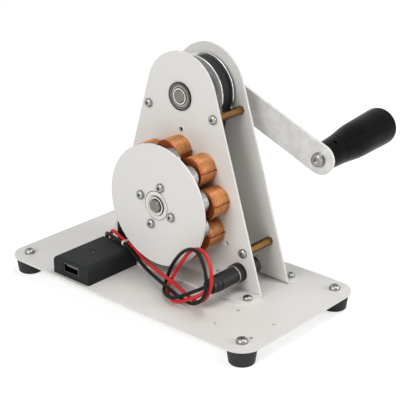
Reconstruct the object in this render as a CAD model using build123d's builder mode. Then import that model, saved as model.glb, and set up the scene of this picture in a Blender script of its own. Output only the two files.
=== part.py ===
from build123d import *
import math
import os

# Hand crank generator, millimetres. +Z is up, the shafts lie along Y, and the base's long side is
# along X. The rotor disc is on the -Y side and the crank on the +Y side. The origin is on the
# surface that the feet stand on, below the middle of the whole machine.

os.makedirs("parts", exist_ok=True)

# ---------------------------------------------------------------- driving dimensions
BASE_LENGTH = 200.0
BASE_WIDTH = 109.0
BASE_CORNER = 13.0
BASE_Y = -32.75  # middle of the base across its width
SHEET = 1.5
FOOT_HEIGHT = 10.5
FOOT_TOP_RADIUS = 9.0
FOOT_BOTTOM_RADIUS = 7.5
FOOT_INSET = 10.8
FOOT_RECESS_RADIUS = 4.2
FOOT_RECESS_DEPTH = 4.5

UPRIGHT_GAP = 23.5
UPRIGHT_HALF_WIDTH = 63.5
UPRIGHT_TOP_RADIUS = 27.1
REAR_MARGIN = 0.9  # how much wider all round the rear upright is
FLANGE_REACH = 14.9
FLANGE_CORNER = 8.0
BEND_RADIUS = 2.4

CRANK_HEIGHT = 112.3  # both shaft heights are above the base plate's top
ROTOR_HEIGHT = 49.1
SHAFT_RADIUS = 4.0

BEARING_RADIUS = 8.0
BEARING_FLANGE_RADIUS = 8.7
BEARING_FLANGE = 1.1
BEARING_WIDTH = 4.0
OUTER_RACE_BORE = 6.9
INNER_RACE_RADIUS = 5.6
SHIELD_GAP = 0.06

STANDOFF_ACROSS_FLATS = 4.8
UPPER_STANDOFF = (25.9, 103.2)
LOWER_STANDOFF = (49.6, 25.1)

DRIVE_TEETH = 60
DRIVEN_TEETH = 20
BELT_PITCH = 2.0
BELT_WIDTH = 8.4
BELT_BACKING = 1.0
BELT_CLEARANCE = 0.16
TIP_BELOW_PITCH = 0.254
TOOTH_DEPTH = 0.75

DISC_RADIUS = 38.3
DISC_THICKNESS = 1.5
HUB_BOSS_RADIUS = 9.2
HUB_SCREW_CIRCLE = 13.1
HUB_SCREW_ANGLE = 72.0
MAGNET_COUNT = 12
MAGNET_RADIUS = 7.5
MAGNET_THICKNESS = 5.5
MAGNET_CIRCLE = 30.0
MAGNET_ANGLE = 16.0

COIL_COUNT = 9
COIL_CIRCLE = 30.15
COIL_LENGTH = 13.65
COIL_POST_RADIUS = 3.2
COIL_CORE_RADIUS = 8.58
COIL_WIRE_RADIUS = 0.3
COIL_WIRE_PITCH = 1.06
COIL_TURNS = 12

ARM_THICKNESS = 2.0
ARM_HALF_WIDTH = 9.7
ARM_LENGTH = 80.2
ARM_ANGLE = -24.9
ARM_LEAN = 4.1
ARM_BEND_AT = 13.0
HANDLE_LENGTH = 73.8

MODULE_LENGTH = 41.7
MODULE_WIDTH = 32.0
MODULE_HEIGHT = 11.6
MODULE_WALL = 1.5
JACK_X = 46.5
JACK_Z = 11.8
WIRE_RADIUS = 1.1

# ---------------------------------------------------------------- stations worked out from them
BASE_TOP = FOOT_HEIGHT + SHEET
FRONT_Y = BASE_Y + 4.75  # front face of the front upright
FRONT_BACK_Y = FRONT_Y + SHEET
REAR_Y = FRONT_BACK_Y + UPRIGHT_GAP  # inner face of the rear upright
REAR_BACK_Y = REAR_Y + SHEET
CRANK_Z = BASE_TOP + CRANK_HEIGHT
ROTOR_Z = BASE_TOP + ROTOR_HEIGHT

PULLEY_ZONE_FRONT = FRONT_Y + 13.2
PULLEY_ZONE_BACK = PULLEY_ZONE_FRONT + 8.8
RIM_THICKNESS = 1.1
RIM_RADIUS = 22.4
SMALL_RIM_RADIUS = 8.4
DRIVE_PITCH_RADIUS = DRIVE_TEETH * BELT_PITCH / (2 * math.pi)
DRIVEN_PITCH_RADIUS = DRIVEN_TEETH * BELT_PITCH / (2 * math.pi)
DRIVE_TIP_RADIUS = DRIVE_PITCH_RADIUS - TIP_BELOW_PITCH
DRIVEN_TIP_RADIUS = DRIVEN_PITCH_RADIUS - TIP_BELOW_PITCH

DISC_FRONT_Y = BASE_Y - 17.6
DISC_BACK_Y = DISC_FRONT_Y + DISC_THICKNESS
COIL_FRONT_Y = FRONT_Y - COIL_LENGTH

ARM_FRONT_Y = BASE_Y + 41.0
ARM_BACK_Y = ARM_FRONT_Y + ARM_THICKNESS
HUB_FRONT_Y = REAR_BACK_Y + BEARING_FLANGE + 0.3

M3_RADIUS = 1.5
M3_CLEARANCE = 1.6
M3_HEAD_RADIUS = 2.85
M3_HEAD_HEIGHT = 2.3


# ---------------------------------------------------------------- helpers
def across(y, x=0.0, z=0.0):
    """Plane square to the shafts at station y, with X to the right and Z up."""
    return Plane((x, y, z), x_dir=(1, 0, 0), z_dir=(0, -1, 0))


def facing_rear(y, x=0.0, z=0.0):
    """Plane square to the shafts at station y that faces +Y."""
    return Plane((x, y, z), x_dir=(-1, 0, 0), z_dir=(0, 1, 0))


def add_ring(y_front, y_back, radius, bore=0.0, x=0.0, z=0.0, mode=Mode.ADD):
    """Add a cylinder or a ring along Y between two stations to the part being built."""
    with BuildSketch(across(y_front, x, z)) as ring:
        Circle(radius)
        if bore > 0:
            Circle(bore, mode=Mode.SUBTRACT)
    extrude(ring.sketch, amount=y_front - y_back, mode=mode)


def polar_point(radius, angle_deg):
    """Point on a circle about the origin, as X and Z."""
    angle = math.radians(angle_deg)
    return (radius * math.cos(angle), radius * math.sin(angle))


def save(part, label):
    """Name a finished sub-part and write it."""
    part.label = label
    export_step(part, f"parts/{label}.step")


# ---------------------------------------------------------------- fastener patterns
with BuildPart() as m3_button:
    with BuildSketch(Plane.XY):
        Circle(M3_HEAD_RADIUS)
    extrude(amount=M3_HEAD_HEIGHT)
    fillet(m3_button.edges().group_by(Axis.Z)[-1], 1.1)
    with BuildSketch(Plane.XY.offset(M3_HEAD_HEIGHT)):
        RegularPolygon(1.15, 6)
    extrude(amount=-1.5, mode=Mode.SUBTRACT)
    with BuildSketch(Plane.XY):
        Circle(M3_RADIUS)
    extrude(amount=-6.0)

with BuildPart() as m35_pan:
    with BuildSketch(Plane.XY):
        Circle(3.4)
    extrude(amount=2.7)
    fillet(m35_pan.edges().group_by(Axis.Z)[-1], 1.5)
    with BuildSketch(Plane.XY.offset(2.7)):
        Rectangle(3.6, 0.7)
        Rectangle(0.7, 3.6)
    extrude(amount=-1.2, mode=Mode.SUBTRACT)
    with BuildSketch(Plane.XY):
        Circle(1.75)
    extrude(amount=-10.2)

with BuildPart() as hex_nut:
    with BuildSketch(Plane.XY):
        RegularPolygon(2.75, 6, major_radius=False)
        Circle(M3_RADIUS, mode=Mode.SUBTRACT)
    extrude(amount=2.4)

with BuildPart() as foot_nut:
    with BuildSketch(Plane.XY):
        RegularPolygon(3.0, 6, major_radius=False)
        Circle(1.75, mode=Mode.SUBTRACT)
    extrude(amount=2.7)

foot_x = BASE_LENGTH / 2 - FOOT_INSET
foot_y = BASE_WIDTH / 2 - FOOT_INSET
foot_places = [(x, BASE_Y + y) for x in (-foot_x, foot_x) for y in (-foot_y, foot_y)]
FLANGE_SCREW_X = 60.4
FRONT_FLANGE_SCREW_Y = BASE_Y - 3.9
REAR_FLANGE_SCREW_Y = BASE_Y + 37.6
front_flange_places = [(-FLANGE_SCREW_X, FRONT_FLANGE_SCREW_Y), (FLANGE_SCREW_X, FRONT_FLANGE_SCREW_Y)]
rear_flange_places = [(-FLANGE_SCREW_X, REAR_FLANGE_SCREW_Y), (FLANGE_SCREW_X, REAR_FLANGE_SCREW_Y)]
ACCESSORY_CENTRE = (76.5, BASE_Y - 26.2)
ACCESSORY_SPACING = (26.4, 20.4)
ACCESSORY_HOLE_RADIUS = 1.1

# ---------------------------------------------------------------- base, feet and their fasteners
with BuildPart() as base_plate:
    with BuildSketch(Plane.XY.offset(FOOT_HEIGHT)):
        with Locations((0, BASE_Y)):
            RectangleRounded(BASE_LENGTH, BASE_WIDTH, BASE_CORNER)
        with Locations(*foot_places):
            Circle(1.9, mode=Mode.SUBTRACT)
        with Locations(*front_flange_places, *rear_flange_places):
            Circle(M3_CLEARANCE, mode=Mode.SUBTRACT)
        with Locations(ACCESSORY_CENTRE):
            with GridLocations(*ACCESSORY_SPACING, 2, 2):
                Circle(ACCESSORY_HOLE_RADIUS, mode=Mode.SUBTRACT)
    extrude(amount=SHEET)
save(base_plate.part, "base_plate")

with BuildPart() as rubber_feet:
    with BuildSketch(Plane.XY):
        with Locations(*foot_places):
            Circle(FOOT_BOTTOM_RADIUS)
    foot_taper = math.degrees(math.atan((FOOT_TOP_RADIUS - FOOT_BOTTOM_RADIUS) / FOOT_HEIGHT))
    extrude(amount=FOOT_HEIGHT, taper=-foot_taper)
    fillet(rubber_feet.edges().group_by(Axis.Z)[0], 0.8)
    with BuildSketch(Plane.XY):
        with Locations(*foot_places):
            Circle(FOOT_RECESS_RADIUS)
    extrude(amount=FOOT_RECESS_DEPTH, mode=Mode.SUBTRACT)
    with BuildSketch(Plane.XY):
        with Locations(*foot_places):
            Circle(1.9)
    extrude(amount=FOOT_HEIGHT, mode=Mode.SUBTRACT)
save(rubber_feet.part, "rubber_feet")

with BuildPart() as foot_screws:
    with Locations(*[(x, y, BASE_TOP) for x, y in foot_places]):
        add(m35_pan.part)
save(foot_screws.part, "foot_screws")

with BuildPart() as foot_nuts:
    with Locations(*[(x, y, FOOT_RECESS_DEPTH - 2.7) for x, y in foot_places]):
        add(foot_nut.part)
save(foot_nuts.part, "foot_nuts")

with BuildPart() as flange_screws:
    with Locations(*[(x, y, BASE_TOP + SHEET) for x, y in front_flange_places + rear_flange_places]):
        add(m3_button.part)
save(flange_screws.part, "flange_screws")

with BuildPart() as flange_nuts:
    with Locations(*[(x, y, FOOT_HEIGHT - 2.4) for x, y in front_flange_places + rear_flange_places]):
        add(hex_nut.part)
save(flange_nuts.part, "flange_nuts")


# ---------------------------------------------------------------- uprights
def upright_tangent(half_width, top_radius):
    """Where the slanted side meets the rounded top, as X and height above the base."""
    reach = math.hypot(half_width, CRANK_HEIGHT)
    side = math.sqrt(reach**2 - top_radius**2)
    heading = math.atan2(CRANK_HEIGHT, -half_width) - math.asin(top_radius / reach)
    return half_width + side * math.cos(heading), side * math.sin(heading)


def add_upright_sheet(y, margin=0.0):
    """Add the tall plate: a trapezium with a round top concentric with the crank shaft."""
    half_width = UPRIGHT_HALF_WIDTH + margin
    top_radius = UPRIGHT_TOP_RADIUS + margin
    tangent_x, tangent_z = upright_tangent(half_width, top_radius)
    with BuildSketch(across(y, z=BASE_TOP)) as sheet:
        with BuildLine():
            base_edge = Line((-half_width, 0), (half_width, 0))
            side = Line(base_edge @ 1, (tangent_x, tangent_z))
            top = ThreePointArc(side @ 1, (0, CRANK_HEIGHT + top_radius), (-tangent_x, tangent_z))
            Line(top @ 1, base_edge @ 0)
        make_face()
    extrude(sheet.sketch, amount=-SHEET)


def add_flange(y_low, y_high, corner_side, places, margin=0.0):
    """Add the foot of an upright, flat on the base, with its free corners rounded."""
    with BuildSketch(Plane.XY.offset(BASE_TOP)) as foot:
        with Locations((0, (y_low + y_high) / 2)):
            Rectangle(2 * (UPRIGHT_HALF_WIDTH + margin), y_high - y_low)
        fillet(foot.vertices().group_by(Axis.Y)[corner_side], FLANGE_CORNER)
        with Locations(*places):
            Circle(M3_CLEARANCE, mode=Mode.SUBTRACT)
    extrude(foot.sketch, amount=SHEET)


def cut_upright_holes(y):
    """Cut the bearing seats and the standoff holes."""
    with BuildSketch(across(y)) as holes:
        with Locations((0, CRANK_Z), (0, ROTOR_Z)):
            Circle(BEARING_RADIUS)
        with Locations(*standoff_places):
            Circle(M3_CLEARANCE)
    extrude(holes.sketch, amount=-SHEET, mode=Mode.SUBTRACT)


standoff_places = [
    (side * x, BASE_TOP + z) for side in (-1, 1) for x, z in (UPPER_STANDOFF, LOWER_STANDOFF)
]
coil_angles = [90.0 + 360.0 / COIL_COUNT * i for i in range(COIL_COUNT)]
coil_places = [
    (polar_point(COIL_CIRCLE, a)[0], ROTOR_Z + polar_point(COIL_CIRCLE, a)[1]) for a in coil_angles
]
PILOT_HOLES = [(0.0, 91.6), (36.4, 27.4), (-36.4, 27.4), (30.0, 7.0)]
PILOT_RADIUS = 1.6
RECTIFIER_X = (-48.2, -24.2)
RECTIFIER_Z = (BASE_TOP + 7.0, BASE_TOP + 21.9)
RECTIFIER_DEPTH = 8.75
rectifier_centre = (sum(RECTIFIER_X) / 2, sum(RECTIFIER_Z) / 2)

with BuildPart() as front_upright:
    add_upright_sheet(FRONT_Y)
    add_flange(FRONT_Y - FLANGE_REACH, FRONT_BACK_Y, 0, front_flange_places)
    bend_edges = front_upright.edges().filter_by(Axis.X).filter_by_position(Axis.Z, BASE_TOP, BASE_TOP)
    fillet(bend_edges.sort_by(Axis.Y)[-1], BEND_RADIUS)
    cut_upright_holes(FRONT_Y)
    with BuildSketch(across(FRONT_Y)):
        with Locations(*coil_places, rectifier_centre):
            Circle(M3_CLEARANCE)
        with Locations((JACK_X, BASE_TOP + JACK_Z)):
            Circle(4.05)
        with Locations(*[(x, BASE_TOP + z) for x, z in PILOT_HOLES]):
            Circle(PILOT_RADIUS)
    extrude(amount=-SHEET, mode=Mode.SUBTRACT)
save(front_upright.part, "front_upright")

with BuildPart() as rear_upright:
    add_upright_sheet(REAR_Y, REAR_MARGIN)
    add_flange(REAR_Y, REAR_BACK_Y + FLANGE_REACH, -1, rear_flange_places, REAR_MARGIN)
    bend_edges = rear_upright.edges().filter_by(Axis.X).filter_by_position(Axis.Z, BASE_TOP, BASE_TOP)
    fillet(bend_edges.sort_by(Axis.Y)[0], BEND_RADIUS)
    cut_upright_holes(REAR_Y)
save(rear_upright.part, "rear_upright")

with BuildPart() as hex_standoffs:
    with BuildSketch(across(FRONT_BACK_Y)):
        with Locations(*standoff_places):
            RegularPolygon(STANDOFF_ACROSS_FLATS / 2, 6, major_radius=False)
            Circle(M3_RADIUS, mode=Mode.SUBTRACT)
    extrude(amount=-UPRIGHT_GAP)
save(hex_standoffs.part, "hex_standoffs")

with BuildPart() as standoff_screws:
    with Locations(*[across(FRONT_Y, x, z) for x, z in standoff_places]):
        add(m3_button.part)
    with Locations(*[facing_rear(REAR_BACK_Y, x, z) for x, z in standoff_places]):
        add(m3_button.part)
save(standoff_screws.part, "standoff_screws")


# ---------------------------------------------------------------- bearings
def add_front_race(y_face, z):
    """Flanged outer race with its shield, flange on the -Y side of the sheet."""
    add_ring(y_face - BEARING_FLANGE, y_face, BEARING_FLANGE_RADIUS, OUTER_RACE_BORE, z=z)
    add_ring(y_face, y_face + BEARING_WIDTH - BEARING_FLANGE, BEARING_RADIUS, OUTER_RACE_BORE, z=z)
    for y in (y_face - BEARING_FLANGE + 0.3, y_face + BEARING_WIDTH - BEARING_FLANGE - 0.6):
        add_ring(y, y + 0.3, OUTER_RACE_BORE, INNER_RACE_RADIUS + SHIELD_GAP, z=z)


def add_rear_race(y_face, z):
    """The same race with its flange on the +Y side of the sheet."""
    add_ring(y_face, y_face + BEARING_FLANGE, BEARING_FLANGE_RADIUS, OUTER_RACE_BORE, z=z)
    add_ring(y_face - BEARING_WIDTH + BEARING_FLANGE, y_face, BEARING_RADIUS, OUTER_RACE_BORE, z=z)
    for y in (y_face + BEARING_FLANGE - 0.6, y_face - BEARING_WIDTH + BEARING_FLANGE + 0.3):
        add_ring(y, y + 0.3, OUTER_RACE_BORE, INNER_RACE_RADIUS + SHIELD_GAP, z=z)


INNER_RACE_FRONT = FRONT_Y - BEARING_FLANGE
INNER_RACE_REAR = REAR_BACK_Y - BEARING_WIDTH + BEARING_FLANGE

with BuildPart() as bearing_outer_races:
    for bearing_z in (CRANK_Z, ROTOR_Z):
        add_front_race(FRONT_Y, bearing_z)
        add_rear_race(REAR_BACK_Y, bearing_z)
save(bearing_outer_races.part, "bearing_outer_races")

with BuildPart() as crank_inner_races:
    for race_y in (INNER_RACE_FRONT, INNER_RACE_REAR):
        add_ring(race_y, race_y + BEARING_WIDTH, INNER_RACE_RADIUS, SHAFT_RADIUS, z=CRANK_Z)
save(crank_inner_races.part, "crank_inner_races")

with BuildPart() as rotor_inner_races:
    for race_y in (INNER_RACE_FRONT, INNER_RACE_REAR):
        add_ring(race_y, race_y + BEARING_WIDTH, INNER_RACE_RADIUS, SHAFT_RADIUS, z=ROTOR_Z)
save(rotor_inner_races.part, "rotor_inner_races")


# ---------------------------------------------------------------- crank shaft and drive pulley
SHAFT_FLAT = 3.0
CRANK_SHAFT_FRONT = INNER_RACE_FRONT - 0.4
CLAMP_BORE_DEPTH = 9.0

with BuildPart() as crank_shaft:
    add_ring(CRANK_SHAFT_FRONT, ARM_FRONT_Y, SHAFT_RADIUS, z=CRANK_Z)
    chamfer(crank_shaft.edges().group_by(Axis.Y)[0], 0.4)
    with BuildSketch(across(ARM_FRONT_Y, z=CRANK_Z)) as tail:
        Circle(SHAFT_RADIUS)
        with Locations((0, SHAFT_FLAT)):
            Rectangle(2 * SHAFT_RADIUS, SHAFT_RADIUS, align=(Align.CENTER, Align.MIN), mode=Mode.SUBTRACT)
    extrude(amount=0.1 - ARM_THICKNESS)
    add_ring(ARM_BACK_Y - CLAMP_BORE_DEPTH, ARM_BACK_Y, 2.0, z=CRANK_Z, mode=Mode.SUBTRACT)
save(crank_shaft.part, "crank_shaft")


def cut_tooth_gaps(tip_radius, teeth, z):
    """Cut the round gaps between the teeth into the belt zone of a pulley."""
    with BuildSketch(across(PULLEY_ZONE_FRONT, z=z)) as gaps:
        with PolarLocations(tip_radius, teeth):
            Circle(0.56)
    extrude(gaps.sketch, amount=PULLEY_ZONE_FRONT - PULLEY_ZONE_BACK, mode=Mode.SUBTRACT)


with BuildPart() as drive_pulley:
    add_ring(PULLEY_ZONE_FRONT, PULLEY_ZONE_BACK, DRIVE_TIP_RADIUS, SHAFT_RADIUS, z=CRANK_Z)
    cut_tooth_gaps(DRIVE_TIP_RADIUS, DRIVE_TEETH, CRANK_Z)
    DRIVE_HUB_FRONT = PULLEY_ZONE_FRONT - RIM_THICKNESS - 6.5
    add_ring(DRIVE_HUB_FRONT, PULLEY_ZONE_FRONT, 9.5, SHAFT_RADIUS, z=CRANK_Z)
    set_screw_y = DRIVE_HUB_FRONT + 3.2
    with BuildSketch(Plane.XY.offset(CRANK_Z)):
        with Locations((0, set_screw_y)):
            Circle(1.5)
    extrude(amount=9.5, mode=Mode.SUBTRACT)
save(drive_pulley.part, "drive_pulley")

with BuildPart() as drive_pulley_front_rim:
    add_ring(PULLEY_ZONE_FRONT - RIM_THICKNESS, PULLEY_ZONE_FRONT, RIM_RADIUS, 9.5, z=CRANK_Z)
    chamfer(drive_pulley_front_rim.edges().filter_by(GeomType.CIRCLE).sort_by(SortBy.RADIUS)[-2:], 0.3)
save(drive_pulley_front_rim.part, "drive_pulley_front_rim")

with BuildPart() as drive_pulley_rear_rim:
    add_ring(PULLEY_ZONE_BACK, PULLEY_ZONE_BACK + 1.0, RIM_RADIUS, SHAFT_RADIUS, z=CRANK_Z)
    chamfer(drive_pulley_rear_rim.edges().filter_by(GeomType.CIRCLE).sort_by(SortBy.RADIUS)[-2:], 0.3)
save(drive_pulley_rear_rim.part, "drive_pulley_rear_rim")

with BuildPart() as drive_set_screw:
    with BuildSketch(Plane.XY.offset(CRANK_Z + SHAFT_RADIUS)):
        with Locations((0, set_screw_y)):
            Circle(1.5)
            RegularPolygon(0.8, 6, mode=Mode.SUBTRACT)
    extrude(amount=4.5)
save(drive_set_screw.part, "drive_set_screw")

# ---------------------------------------------------------------- crank arm
arm_dir = Vector(math.cos(math.radians(ARM_ANGLE)), 0, math.sin(math.radians(ARM_ANGLE)))
LEAN_COS = math.cos(math.radians(ARM_LEAN))
LEAN_SIN = math.sin(math.radians(ARM_LEAN))
leaning_dir = arm_dir * LEAN_COS + Vector(0, LEAN_SIN, 0)
handle_axis = Vector(0, LEAN_COS, 0) - arm_dir * LEAN_SIN
arm_root = Vector(0, ARM_FRONT_Y, CRANK_Z)
bend_point = arm_root + arm_dir * ARM_BEND_AT
arm_end = bend_point + leaning_dir * (ARM_LENGTH - ARM_BEND_AT)


def arm_plane(distance):
    """Plane square to the handle's axis, measured from the arm's front face."""
    return Plane(arm_end + handle_axis * distance, x_dir=leaning_dir, z_dir=handle_axis)


with BuildPart() as crank_arm:
    with BuildSketch(Plane(arm_root, x_dir=arm_dir, z_dir=(0, 1, 0))):
        Circle(ARM_HALF_WIDTH)
        Rectangle(ARM_BEND_AT, 2 * ARM_HALF_WIDTH, align=(Align.MIN, Align.CENTER))
    extrude(amount=ARM_THICKNESS)
    with BuildSketch(Plane(bend_point, x_dir=leaning_dir, z_dir=handle_axis)):
        with Locations((ARM_LENGTH - ARM_BEND_AT, 0)):
            Circle(ARM_HALF_WIDTH)
        Rectangle(ARM_LENGTH - ARM_BEND_AT, 2 * ARM_HALF_WIDTH, align=(Align.MIN, Align.CENTER))
    extrude(amount=ARM_THICKNESS)
    with BuildSketch(across(ARM_FRONT_Y, z=CRANK_Z)):
        Circle(SHAFT_RADIUS + 0.02)
        with Locations((0, SHAFT_FLAT + 0.02)):
            Rectangle(3 * SHAFT_RADIUS, SHAFT_RADIUS, align=(Align.CENTER, Align.MIN), mode=Mode.SUBTRACT)
    extrude(amount=-ARM_THICKNESS, mode=Mode.SUBTRACT)
    with BuildSketch(arm_plane(0)):
        Circle(2.6)
    extrude(amount=ARM_THICKNESS, mode=Mode.SUBTRACT)
save(crank_arm.part, "crank_arm")

with BuildPart() as arm_hub:
    add_ring(HUB_FRONT_Y, HUB_FRONT_Y + 0.8, 5.4, SHAFT_RADIUS, z=CRANK_Z)
    add_ring(HUB_FRONT_Y + 0.8, ARM_FRONT_Y, 8.0, SHAFT_RADIUS, z=CRANK_Z)
save(arm_hub.part, "arm_hub")

with BuildPart() as arm_clamp_washer:
    add_ring(ARM_BACK_Y, ARM_BACK_Y + 1.0, 6.0, 2.1, z=CRANK_Z)
save(arm_clamp_washer.part, "arm_clamp_washer")

with BuildPart() as arm_clamp_screw:
    with BuildSketch(facing_rear(ARM_BACK_Y + 1.0, z=CRANK_Z)):
        Circle(3.8)
    extrude(amount=2.2)
    fillet(arm_clamp_screw.edges().group_by(Axis.Y)[-1], 1.4)
    with BuildSketch(facing_rear(ARM_BACK_Y + 3.2, z=CRANK_Z)):
        RegularPolygon(1.45, 6)
    extrude(amount=-1.4, mode=Mode.SUBTRACT)
    add_ring(ARM_BACK_Y - CLAMP_BORE_DEPTH + 1.0, ARM_BACK_Y + 1.0, 2.0, z=CRANK_Z)
save(arm_clamp_screw.part, "arm_clamp_screw")

# ---------------------------------------------------------------- handle
BOLT_RADIUS = 2.5
BOLT_HEAD_RADIUS = 3.9
BOLT_HEAD_HEIGHT = 2.9
WASHER_THICKNESS = 0.8
COLLAR_END = 18.3
GRIP_START = 18.6
BOLT_END = 62.0
GRIP_BORE = BOLT_RADIUS + 0.06
GRIP_BORE_END = 64.0

with BuildPart() as handle_washer:
    with BuildSketch(arm_plane(-WASHER_THICKNESS)):
        Circle(4.55)
        Circle(BOLT_RADIUS, mode=Mode.SUBTRACT)
    extrude(amount=WASHER_THICKNESS)
save(handle_washer.part, "handle_washer")

with BuildPart() as handle_bolt:
    with BuildSketch(arm_plane(-WASHER_THICKNESS)):
        Circle(BOLT_HEAD_RADIUS)
    extrude(amount=-BOLT_HEAD_HEIGHT)
    head_face = handle_bolt.faces().filter_by(GeomType.PLANE).sort_by(Axis.Y)[0]
    fillet(head_face.edges(), 0.9)
    with BuildSketch(arm_plane(-WASHER_THICKNESS - BOLT_HEAD_HEIGHT)):
        RegularPolygon(1.9, 6)
    extrude(amount=1.7, mode=Mode.SUBTRACT)
    with BuildSketch(arm_plane(-WASHER_THICKNESS)):
        Circle(BOLT_RADIUS)
    extrude(amount=BOLT_END + WASHER_THICKNESS)
save(handle_bolt.part, "handle_bolt")


def handle_profile_plane():
    """Plane through the handle's axis: X runs out along the axis and Y is the radius."""
    return Plane(arm_end, x_dir=handle_axis, z_dir=leaning_dir)


handle_line = Axis(arm_end, handle_axis)

with BuildPart() as handle_collar:
    with BuildSketch(handle_profile_plane()):
        with BuildLine():
            Polyline(
                (ARM_THICKNESS, BOLT_RADIUS),
                (ARM_THICKNESS, 8.4),
                (COLLAR_END, 9.2),
                (COLLAR_END, BOLT_RADIUS),
                (ARM_THICKNESS, BOLT_RADIUS),
            )
        make_face()
    revolve(axis=handle_line)
    dimple_dir = leaning_dir.cross(handle_axis)
    dimple_centre = arm_end + handle_axis * 11.75 + dimple_dir * 9.0
    with BuildSketch(Plane(dimple_centre, x_dir=handle_axis, z_dir=dimple_dir)):
        Circle(1.3)
    extrude(amount=-1.5, mode=Mode.SUBTRACT)
save(handle_collar.part, "handle_collar")

with BuildPart() as handle_grip:
    with BuildSketch(handle_profile_plane()):
        with BuildLine():
            neck = Polyline((GRIP_START, GRIP_BORE), (GRIP_START, 8.75), (GRIP_START + 0.5, 9.25))
            belly = (36.0, 11.1), (54.0, 11.7), (HANDLE_LENGTH - 5.0, 12.1)
            swell = Spline(neck @ 1, *belly, tangents=((1, 0.06), (1, 0.0)))
            tip = Polyline(swell @ 1, (HANDLE_LENGTH, 12.1), (HANDLE_LENGTH, 0), (GRIP_BORE_END, 0))
            Polyline(tip @ 1, (GRIP_BORE_END, GRIP_BORE), neck @ 0)
        make_face()
    revolve(axis=handle_line)
    rim_edges = handle_grip.edges().filter_by(GeomType.CIRCLE).sort_by(handle_line)[-1]
    fillet(rim_edges, 4.0)
save(handle_grip.part, "handle_grip")

# ---------------------------------------------------------------- rotor
ROTOR_SHAFT_FRONT = DISC_FRONT_Y - 1.6
ROTOR_SHAFT_REAR = REAR_BACK_Y + 3.0
HUB_FLANGE_BACK = DISC_BACK_Y + 3.0
HUB_BODY_BACK = FRONT_Y - 6.6
SPACER_BACK = INNER_RACE_FRONT

with BuildPart() as rotor_shaft:
    add_ring(ROTOR_SHAFT_FRONT, ROTOR_SHAFT_REAR, SHAFT_RADIUS, z=ROTOR_Z)
    chamfer(rotor_shaft.edges().group_by(Axis.Y)[0], 0.4)
save(rotor_shaft.part, "rotor_shaft")

hub_screw_places = [
    (polar_point(HUB_SCREW_CIRCLE, HUB_SCREW_ANGLE + 90.0 * i)[0],
     ROTOR_Z + polar_point(HUB_SCREW_CIRCLE, HUB_SCREW_ANGLE + 90.0 * i)[1])
    for i in range(4)
]

with BuildPart() as rotor_disc:
    add_ring(DISC_FRONT_Y, DISC_BACK_Y, DISC_RADIUS, HUB_BOSS_RADIUS + 0.12, z=ROTOR_Z)
    with BuildSketch(across(DISC_FRONT_Y)):
        with Locations(*hub_screw_places):
            Circle(M3_CLEARANCE)
    extrude(amount=-DISC_THICKNESS, mode=Mode.SUBTRACT)
save(rotor_disc.part, "rotor_disc")

with BuildPart() as rotor_hub:
    add_ring(DISC_FRONT_Y, DISC_BACK_Y, HUB_BOSS_RADIUS, SHAFT_RADIUS, z=ROTOR_Z)
    add_ring(DISC_FRONT_Y - 0.9, DISC_FRONT_Y, 6.2, 5.2, z=ROTOR_Z)
    add_ring(DISC_BACK_Y, HUB_FLANGE_BACK, 16.4, SHAFT_RADIUS, z=ROTOR_Z)
    add_ring(HUB_FLANGE_BACK, HUB_BODY_BACK, 9.0, SHAFT_RADIUS, z=ROTOR_Z)
    hub_set_screw_y = HUB_BODY_BACK - 2.0
    with BuildSketch(across(DISC_BACK_Y)):
        with Locations(*hub_screw_places):
            Circle(M3_RADIUS)
    extrude(amount=DISC_BACK_Y - HUB_FLANGE_BACK, mode=Mode.SUBTRACT)
    with BuildSketch(Plane.XY.offset(ROTOR_Z)):
        with Locations((0, hub_set_screw_y)):
            Circle(1.25)
    extrude(amount=9.0, mode=Mode.SUBTRACT)
save(rotor_hub.part, "rotor_hub")

with BuildPart() as hub_screws:
    for screw_x, screw_z in hub_screw_places:
        with Locations(across(DISC_FRONT_Y, screw_x, screw_z)):
            add(m3_button.part)
    with BuildSketch(across(HUB_FLANGE_BACK)):
        with Locations(*hub_screw_places):
            Circle(M3_RADIUS)
    extrude(amount=-3.0, mode=Mode.SUBTRACT)
save(hub_screws.part, "hub_screws")

magnet_places = [
    (polar_point(MAGNET_CIRCLE, MAGNET_ANGLE + 360.0 / MAGNET_COUNT * i)[0],
     ROTOR_Z + polar_point(MAGNET_CIRCLE, MAGNET_ANGLE + 360.0 / MAGNET_COUNT * i)[1])
    for i in range(MAGNET_COUNT)
]

with BuildPart() as rotor_magnets:
    with BuildSketch(across(DISC_BACK_Y)):
        with Locations(*magnet_places):
            Circle(MAGNET_RADIUS)
    extrude(amount=-MAGNET_THICKNESS)
    chamfer(rotor_magnets.edges().group_by(Axis.Y)[-1], 0.4)
save(rotor_magnets.part, "rotor_magnets")

with BuildPart() as rotor_spacer:
    add_ring(HUB_BODY_BACK, SPACER_BACK, 5.4, SHAFT_RADIUS, z=ROTOR_Z)
save(rotor_spacer.part, "rotor_spacer")

with BuildPart() as driven_pulley:
    DRIVEN_HUB_FRONT = PULLEY_ZONE_FRONT - RIM_THICKNESS - 6.5
    add_ring(PULLEY_ZONE_FRONT, PULLEY_ZONE_BACK, DRIVEN_TIP_RADIUS, SHAFT_RADIUS, z=ROTOR_Z)
    cut_tooth_gaps(DRIVEN_TIP_RADIUS, DRIVEN_TEETH, ROTOR_Z)
    add_ring(DRIVEN_HUB_FRONT, PULLEY_ZONE_FRONT, SMALL_RIM_RADIUS, SHAFT_RADIUS, z=ROTOR_Z)
    add_ring(PULLEY_ZONE_BACK, PULLEY_ZONE_BACK + 1.0, SMALL_RIM_RADIUS, SHAFT_RADIUS, z=ROTOR_Z)
    with BuildSketch(Plane.XY.offset(ROTOR_Z)):
        with Locations((0, set_screw_y)):
            Circle(1.25)
    extrude(amount=9.0, mode=Mode.SUBTRACT)
save(driven_pulley.part, "driven_pulley")

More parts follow.
